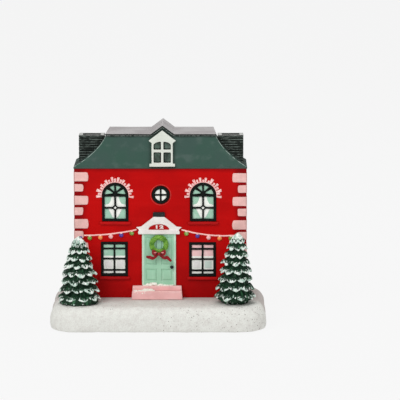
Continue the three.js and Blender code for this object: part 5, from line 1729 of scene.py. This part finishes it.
def build_wreath():
    """Wreath of small pointed leaves over a lumpy ring."""
    low, high = corners("door_wreath")
    middle = (low + high) / 2
    outer, depth = (high.x - low.x) / 2, high.y - low.y
    tube_radius = 1.42
    ring_radius = outer - 1.6
    leaves = house_sizes().wreath_leaves
    rng = random.Random(7)
    bm = new_mesh()
    # the lumpy ring
    rows = []
    for a in full_turn(60):
        out = Vector((math.cos(a), 0.0, math.sin(a)))
        row = []
        for b in full_turn(12):
            spot = out * (ring_radius + tube_radius * 0.85 * math.cos(b))
            spot += Vector((0.0, -depth * 0.42 * math.sin(b), 0.0))
            spot += out * 0.3 * noise.noise(spot * 1.4)
            row.append(bm.verts.new(middle + spot))
        rows.append(row)
    skin(bm, [*rows, rows[0]], caps=False)
    # four rows of leaves, from the inside of the ring to its outside
    for row, tilt in enumerate((-0.95, -0.3, 0.35, 1.0)):
        for k in range(leaves):
            a = 2 * math.pi * (k + 0.5 * (row % 2) + rng.uniform(-0.2, 0.2)) / leaves
            out = Vector((math.cos(a), 0.0, math.sin(a)))
            along = Vector((-math.sin(a), 0.0, math.cos(a)))
            up = (out * math.sin(tilt) + Vector((0.0, -1.0, 0.0)) * math.cos(tilt)).normalized()
            root = middle + out * (ring_radius + tube_radius * 0.8 * math.sin(tilt))
            root += Vector((0.0, -depth * 0.36 * math.cos(tilt), 0.0))
            point = along * rng.uniform(0.7, 1.0)
            point += out * rng.uniform(-0.3, 0.5) * (1 if row > 1 else -1)
            point.normalize()
            across = point.cross(up).normalized()
            size = rng.uniform(0.55, 0.8)
            tip = root + point * size * 1.5 + up * 0.12
            body = root + point * size * 0.6
            rim = [root, body + across * size * 0.5, tip, body - across * size * 0.5]
            ridge = body + up * 0.34
            keel = body - up * 0.12
            base = [bm.verts.new(spot) for spot in rim]
            crest, under = bm.verts.new(ridge), bm.verts.new(keel)
            for i in range(4):
                bm.faces.new((base[i], base[(i + 1) % 4], crest))
                bm.faces.new((base[(i + 1) % 4], base[i], under))
    clamp_front(bm, low.y, high.y)
    piece("leafy_wreath", bm, [wreath_leaf()], "house", ["door_wreath"], 30)


def clamp_front(bm, front, back):
    """Keeps a mesh between two planes of y."""
    for vert in bm.verts:
        vert.co.y = min(max(vert.co.y, front), back)


KNOT_BELOW_WREATH = 4.5
LOOP_LINE = [
    (0.2, 0.3), (1.5, 1.35), (2.75, 2.1), (3.5, 1.5), (3.4, 0.0), (2.5, -0.95), (1.2, -0.7), (0.2, -0.3),
]


def anticlockwise(ring):
    """The same outline, turned round if it runs clockwise."""
    return ring if polygon_area(ring) > 0 else ring[::-1]


def build_bow():
    """Ribbon bow: two puffed loops, a knot and two rippling tails."""
    back = corners("wreath_bow")[1].y
    wreath_low, wreath_high = corners("door_wreath")
    x = (wreath_low.x + wreath_high.x) / 2
    z = (wreath_low.z + wreath_high.z) / 2 - KNOT_BELOW_WREATH
    bm = new_mesh()
    for side in (-1, 1):
        ring = anticlockwise(mirrored([(p.x, p.y) for p in smooth_line(LOOP_LINE, 4)], x, side))
        tablet(bm, [Vector((p[0], p[1] + z)) for p in ring], 1.0, 0.4, on_front(back), 0, 0.12)
        # pale pink painted highlights in the loops
        gleam = [(1.5 + 0.75 * math.cos(a), 0.75 + 0.3 * math.sin(a)) for a in full_turn(16)]
        gleam = anticlockwise(mirrored(gleam, x, side))
        spots = [Vector((p[0] + 0.35 * side, p[1] + z)) for p in gleam]
        tablet(bm, spots, 0.2, 0.06, on_front(back - 1.02), 1)
    tails = [
        [(-0.2, -0.2), (-1.6, -1.35), (-3.0, -2.2), (-4.4, -1.75), (-5.3, -1.7), (-6.3, -1.25)],
        [(0.2, -0.2), (1.4, -1.2), (2.7, -2.05), (4.1, -1.9), (5.0, -2.6), (6.2, -3.7)],
    ]
    for side, points in zip((-1, 1), tails):
        ribbon_tail(bm, [(x + across, z + up) for across, up in points], 1.5, back, side)
    lathe(bm, [(0.8, 0.0), (0.85, 0.5), (0.75, 0.95), (0.5, 1.25), (0.05, 1.3)], (x, back, z), (0, -1, 0), 20)
    bm.faces.layers.float.new("edge")
    piece("crimson_bow", bm, [ribbon_paint(), ribbon_gleam()], "house", ["wreath_bow"], 60)


def polygon_area(points):
    """Area of an outline, above zero if it runs anticlockwise."""
    return sum(a[0] * b[1] - b[0] * a[1] for a, b in zip(points, [*points[1:], points[0]])) / 2


def smooth_line(points, steps):
    """Points of a smooth curve through the given ones."""
    line = []
    padded = [points[0], *points, points[-1]]
    for i in range(len(points) - 1):
        p0, p1, p2, p3 = (Vector(padded[i + k]) for k in range(4))
        for k in range(steps):
            t = k / steps
            line.append(
                0.5 * (2 * p1 + (p2 - p0) * t + (2 * p0 - 5 * p1 + 4 * p2 - p3) * t**2
                       + (3 * p1 - p0 - 3 * p2 + p3) * t**3)
            )
    return [*line, Vector(points[-1])]


def ribbon_tail(bm, points, width, back, side):
    """Tail of ribbon that ripples in and out."""
    line = smooth_line(points, 5)
    rows = []
    for i, spot in enumerate(line):
        ahead = line[min(i + 1, len(line) - 1)] - line[max(i - 1, 0)]
        across = Vector((-ahead.y, ahead.x)).normalized()
        share = i / (len(line) - 1)
        half = width / 2 * (0.6 + 0.5 * math.sin(math.pi * share**1.3))
        ripple = 0.25 + 0.16 * math.sin(7.5 * share + side)
        row = []
        for step in (-1.0, -0.5, 0.0, 0.5, 1.0):
            at = spot + across * half * step
            row.append(Vector((at.x, back - ripple - 0.3 + 0.12 * abs(step), at.y)))
        for step in (1.0, 0.0, -1.0):
            at = spot + across * half * step
            row.append(Vector((at.x, back - ripple + 0.05, at.y)))
        rows.append([bm.verts.new(p) for p in row])
    skin(bm, rows)


def build_pediment():
    """White pediment, its red number panel with a plain 12, and the black cresting."""
    bm = hand_shaped("entry_pediment", 0.2, 1, 0.08, 3.4, 3.0)
    piece("white_pediment", bm, [ivory_paint()], "house", ["entry_pediment"], 50)
    low, high = corners("number_panel")
    plate = softened("number_panel", 0.08, 0.0, 2)
    even_normals(piece("red_number_panel", plate, [sill_paint()], "house", ["number_panel"]))
    number = text_mesh("12", 2.5, 0.26)
    middle = Vector(((low.x + high.x) / 2 + 0.1, low.y, (low.z + high.z) / 2 - 0.05))
    wider, lower = 1.5, 0.86
    for vert in number.verts:
        vert.co = middle + Vector((wider * vert.co.x, -vert.co.z - 0.02, lower * vert.co.y))
    piece("house_number", number, [ivory_paint()], "house")
    crest = hand_shaped("pediment_cresting", 0.16, 2, 0.12, 1.3, 9.0)
    piece("black_cresting", crest, [cast_metal()], "house", ["pediment_cresting"], 75)


def text_mesh(words, size, thickness):
    """Plain figures as a mesh in the making, centred, standing up from z = 0."""
    curve = bpy.data.curves.new("figures", "FONT")
    curve.body = words
    curve.size = size
    curve.extrude = thickness / 2
    curve.bevel_depth = 0.05
    curve.offset = 0.1
    curve.align_x = "CENTER"
    curve.align_y = "CENTER"
    curve.space_character = 1.3
    obj = bpy.data.objects.new("figures", curve)
    bpy.context.scene.collection.objects.link(obj)
    evaluated = obj.evaluated_get(bpy.context.evaluated_depsgraph_get())
    bm = new_mesh()
    bm.from_mesh(evaluated.to_mesh())
    evaluated.to_mesh_clear()
    bpy.data.objects.remove(obj)
    bpy.data.curves.remove(curve)
    bmesh.ops.remove_doubles(bm, verts=bm.verts, dist=0.001)
    return bm


# Strings of lights

BULB_DROP = 1.7
BULB_SHARES = (0.09, 0.29, 0.49, 0.69, 0.89)
BULB_ORDER = ("green", "violet", "pink", "orange", "green")


def bulb_places(side_name, side):
    """Middles of the bulbs on the wall, from the pediment outwards, read off the CAD bulbs."""
    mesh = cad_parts[f"light_string_{side_name}"].data
    front = min(vert.co.y for vert in mesh.vertices)
    tips = {(round(v.co.x / MM, 2), round(v.co.z / MM, 2)) for v in mesh.vertices if v.co.y < front + 1e-5}
    return sorted((Vector((x, FRONT, z)) for x, z in tips), key=lambda spot: side * spot.x)


def cord_point(hangers, share):
    """Point of the cord, a parabola through the first, middle and last hanger."""
    a, b, c = BULB_SHARES[0], BULB_SHARES[2], BULB_SHARES[4]
    first = (share - b) * (share - c) / ((a - b) * (a - c))
    middle = (share - a) * (share - c) / ((b - a) * (b - c))
    last = (share - a) * (share - b) / ((c - a) * (c - b))
    return hangers[0] * first + hangers[2] * middle + hangers[4] * last


def build_light_string(side_name, side):
    """Slack pink cord with glossy bulbs in painted caps."""
    places = bulb_places(side_name, side)
    hangers = [spot + Vector((0.0, 0.0, BULB_DROP)) for spot in places]
    bm = new_mesh()
    steps = 44
    line = []
    for k in range(steps + 1):
        spot = cord_point(hangers, k / steps)
        line.append(spot + Vector((0.0, 0.1, 0.1 * noise.noise(spot / 2.0))))
    tube(bm, line, 0.4, 0.5)
    tones = sorted(set(BULB_ORDER))
    for place, hanger, tone in zip(places, hangers, BULB_ORDER):
        material = 1 + tones.index(tone)
        lathe(bm, dome_profile(1.15, 1.15), place + Vector((0.0, 0.0, 0.4)), (0, -1, 0), 24, material)
        cap = rounded(rectangle(place.x - 0.5, place.z + 0.7, place.x + 0.5, hanger.z), 0.25, 3)
        tablet(bm, cap, 0.75, 0.2, on_front(FRONT), 0)
    if side < 0:
        end = line[-1] + Vector((-1.5, 0.0, -1.0))
        material = 1 + tones.index("violet")
        lathe(bm, dome_profile(0.75, 0.9), (end.x, FRONT, end.z), (0, -1, 0), 24, material)
    finishes = [cord_paint(), *(bulb_paint(tone) for tone in tones)]
    piece(f"lights_{side_name}", bm, finishes, "house", [f"light_string_{side_name}"], 60)


# Stage

CAMERA_PLACE = (20.82, -1283.99, 264.82)
CAMERA_LENS = 233.1
CAMERA_PITCH = 81.0
BACKGROUND = 0.935


def build_stage():
    """Pale floor, soft light all round and a key light from the upper left."""
    scene = bpy.context.scene
    scene.view_settings.view_transform = "Standard"
    floor_mesh = bpy.data.meshes.new("floor")
    reach = 6.0
    floor_mesh.from_pydata(
        [(-reach, -reach, 0), (reach, -reach, 0), (reach, reach, 0), (-reach, reach, 0)], [], [(0, 1, 2, 3)]
    )
    material = bpy.data.materials.new("pale_floor")
    material.use_nodes = True
    sheet = NodeSheet(material.node_tree)
    shader = material.node_tree.nodes["Principled BSDF"]
    shader.inputs["Base Color"].default_value = (0.86, 0.86, 0.86, 1.0)
    shader.inputs["Roughness"].default_value = 0.9
    shader.inputs["Specular IOR Level"].default_value = 0.1
    glow = sheet.add("ShaderNodeEmission", {"Color": WHITE, "Strength": BACKGROUND})
    blend = sheet.add("ShaderNodeMixShader", {0: 0.94, 1: shader.outputs[0], 2: glow.outputs[0]})
    sheet.put(material.node_tree.nodes["Material Output"].inputs["Surface"], blend.outputs[0])
    floor_mesh.materials.append(material)
    floor = bpy.data.objects.new("floor", floor_mesh)
    scene.collection.objects.link(floor)
    build_world(scene)
    soft_box("key_light", (-0.45, -0.75, 0.75), 0.6, 5.8)
    soft_box("fill_light", (0.8, -0.7, 0.35), 0.8, 1.8)
    soft_box("top_light", (0.1, 0.15, 1.0), 0.7, 3.2)
    camera = bpy.data.objects.new("camera", bpy.data.cameras.new("camera"))
    camera.data.lens = CAMERA_LENS
    camera.data.sensor_width = 36.0
    camera.data.clip_end = 20.0
    camera.location = Vector(CAMERA_PLACE) * MM
    camera.rotation_euler = (math.radians(CAMERA_PITCH), 0.0, 0.0)
    scene.collection.objects.link(camera)
    scene.camera = camera


def build_world(scene):
    """Even white surroundings, a little dimmer as light than they look."""
    world = bpy.data.worlds.new("soft_studio")
    world.use_nodes = True
    world.node_tree.nodes.clear()
    sheet = NodeSheet(world.node_tree)
    seen = sheet.add("ShaderNodeBackground", {"Color": WHITE, "Strength": BACKGROUND})
    light = sheet.add("ShaderNodeBackground", {"Color": WHITE, "Strength": 0.5})
    rays = sheet.add("ShaderNodeLightPath")
    blend = sheet.add(
        "ShaderNodeMixShader", {0: rays.outputs["Is Camera Ray"], 1: light.outputs[0], 2: seen.outputs[0]}
    )
    sheet.add("ShaderNodeOutputWorld", {"Surface": blend.outputs[0]})
    scene.world = world


def soft_box(name, place, size, power):
    """Square area light aimed at the house."""
    light = bpy.data.lights.new(name, "AREA")
    light.size = size
    light.energy = power
    obj = bpy.data.objects.new(name, light)
    obj.location = place
    aim = Vector((0.0, 0.0, 0.05)) - Vector(place)
    obj.rotation_euler = aim.to_track_quat("-Z", "Y").to_euler()
    bpy.context.scene.collection.objects.link(obj)


# Operators: one for the stage and one for each piece or group of like pieces


class HOUSE_OT_stage(bpy.types.Operator):
    """Floor, lights and camera"""

    bl_idname = "house.stage"
    bl_label = "Stage"

    def execute(self, context):
        build_stage()
        return {"FINISHED"}


class HOUSE_OT_base(bpy.types.Operator):
    """Snowy base with the felt under it"""

    bl_idname = "house.base"
    bl_label = "Snowy Base"

    def execute(self, context):
        build_snow_base()
        build_felt()
        return {"FINISHED"}


class HOUSE_OT_dish(bpy.types.Operator):
    """Brass dish for the incense cone"""

    bl_idname = "house.dish"
    bl_label = "Cone Dish"

    def execute(self, context):
        build_dish()
        return {"FINISHED"}


class HOUSE_OT_firs(bpy.types.Operator):
    """The two snow-tipped firs"""

    bl_idname = "house.firs"
    bl_label = "Firs"

    def execute(self, context):
        for seed, (side_name, _) in enumerate(SIDES):
            build_fir(side_name, 11 + seed)
        return {"FINISHED"}


class HOUSE_OT_walls(bpy.types.Operator):
    """Red walls"""

    bl_idname = "house.walls"
    bl_label = "Walls"

    def execute(self, context):
        build_walls()
        return {"FINISHED"}


class HOUSE_OT_roof(bpy.types.Operator):
    """Mansard roof with its grey capping"""

    bl_idname = "house.roof"
    bl_label = "Roof"

    def execute(self, context):
        build_roof()
        build_capping()
        return {"FINISHED"}


class HOUSE_OT_chimneys(bpy.types.Operator):
    """The two brick chimneys"""

    bl_idname = "house.chimneys"
    bl_label = "Chimneys"

    def execute(self, context):
        for side_name, _ in SIDES:
            build_chimney(side_name)
        return {"FINISHED"}


class HOUSE_OT_dormer(bpy.types.Operator):
    """White dormer with dark panes"""

    bl_idname = "house.dormer"
    bl_label = "Dormer"

    def execute(self, context):
        build_dormer()
        return {"FINISHED"}


class HOUSE_OT_upper_windows(bpy.types.Operator):
    """Arched windows, their brick arches and sills, and the round window"""

    bl_idname = "house.upper_windows"
    bl_label = "Upper Windows"

    def execute(self, context):
        for seed, (side_name, _) in enumerate(SIDES):
            frame_lines(f"arched_window_frame_{side_name}", f"arched_lines_{side_name}", swell=0.12)
            back_plate(f"arched_window_panes_{side_name}")
            arched_lights(side_name)
            build_brick_arch(side_name, 31 + seed)
            build_sill(f"arched_window_sill_{side_name}", f"arched_sill_{side_name}")
        frame_lines("round_window_frame", "round_lines")
        back_plate("round_window_panes")
        round_lights()
        return {"FINISHED"}


class HOUSE_OT_lower_windows(bpy.types.Operator):
    """Lower windows with their painted panes and sills"""

    bl_idname = "house.lower_windows"
    bl_label = "Lower Windows"

    def execute(self, context):
        lower_lights("left", "glass_mint", "glass_grey", "glass_grey")
        lower_lights("right", "glass_pink", "glass_grey", "glass_pale")
        for side_name, _ in SIDES:
            lower_frame(side_name)
            back_plate(f"lower_window_panes_{side_name}")
            build_sill(f"lower_window_sill_{side_name}", f"lower_sill_{side_name}")
        return {"FINISHED"}


class HOUSE_OT_corner_blocks(bpy.types.Operator):
    """Pink corner blocks up both corners"""

    bl_idname = "house.corner_blocks"
    bl_label = "Corner Blocks"

    def execute(self, context):
        for side_name, side in SIDES:
            count = sum(name.startswith(f"quoin_{side_name}_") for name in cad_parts)
            for index in range(1, count + 1):
                build_corner_block(side_name, side, index)
        return {"FINISHED"}


class HOUSE_OT_entrance(bpy.types.Operator):
    """Steps, door, knob and pediment"""

    bl_idname = "house.entrance"
    bl_label = "Entrance"

    def execute(self, context):
        build_steps()
        build_door()
        build_knob()
        build_pediment()
        return {"FINISHED"}


class HOUSE_OT_wreath(bpy.types.Operator):
    """Wreath and its ribbon bow"""

    bl_idname = "house.wreath"
    bl_label = "Wreath and Bow"

    def execute(self, context):
        build_wreath()
        build_bow()
        return {"FINISHED"}


class HOUSE_OT_lights(bpy.types.Operator):
    """Strings of coloured lights"""

    bl_idname = "house.lights"
    bl_label = "Light Strings"

    def execute(self, context):
        for side_name, side in SIDES:
            build_light_string(side_name, side)
        return {"FINISHED"}


def back_plate(node):
    """Blackens the plate behind a window's painted panes."""
    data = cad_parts[node].data
    data.materials.clear()
    data.materials.append(line_paint())


OPERATORS = (
    HOUSE_OT_stage, HOUSE_OT_base, HOUSE_OT_dish, HOUSE_OT_firs, HOUSE_OT_walls, HOUSE_OT_roof,
    HOUSE_OT_chimneys, HOUSE_OT_dormer, HOUSE_OT_upper_windows, HOUSE_OT_lower_windows,
    HOUSE_OT_corner_blocks, HOUSE_OT_entrance, HOUSE_OT_wreath, HOUSE_OT_lights,
)


class HOUSE_PT_pieces(bpy.types.Panel):
    """Colours, sizes and the pieces in the order that they are made"""

    bl_idname = "HOUSE_PT_pieces"
    bl_label = "Incense House"
    bl_space_type = "VIEW_3D"
    bl_region_type = "UI"
    bl_category = "Incense House"

    def draw(self, context):
        for group in (context.scene.house_paints, context.scene.house_sizes):
            column = self.layout.column(align=True)
            for name in group.bl_rna.properties.keys():
                if name not in ("rna_type", "name"):
                    column.prop(group, name)
        for operator in OPERATORS:
            self.layout.operator(operator.bl_idname)


CLASSES = (HousePaints, HouseSizes, *OPERATORS, HOUSE_PT_pieces)


def register():
    """Adds the classes and the scene's settings."""
    for cls in CLASSES:
        bpy.utils.register_class(cls)
    bpy.types.Scene.house_paints = bpy.props.PointerProperty(type=HousePaints)
    bpy.types.Scene.house_sizes = bpy.props.PointerProperty(type=HouseSizes)


def unregister():
    """Takes them away again."""
    del bpy.types.Scene.house_sizes
    del bpy.types.Scene.house_paints
    for cls in reversed(CLASSES):
        bpy.utils.unregister_class(cls)


def main():
    """Registers the add-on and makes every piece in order."""
    register()
    for operator in OPERATORS:
        getattr(bpy.ops.house, operator.bl_idname.split(".")[1])()


if __name__ == "__main__":
    main()
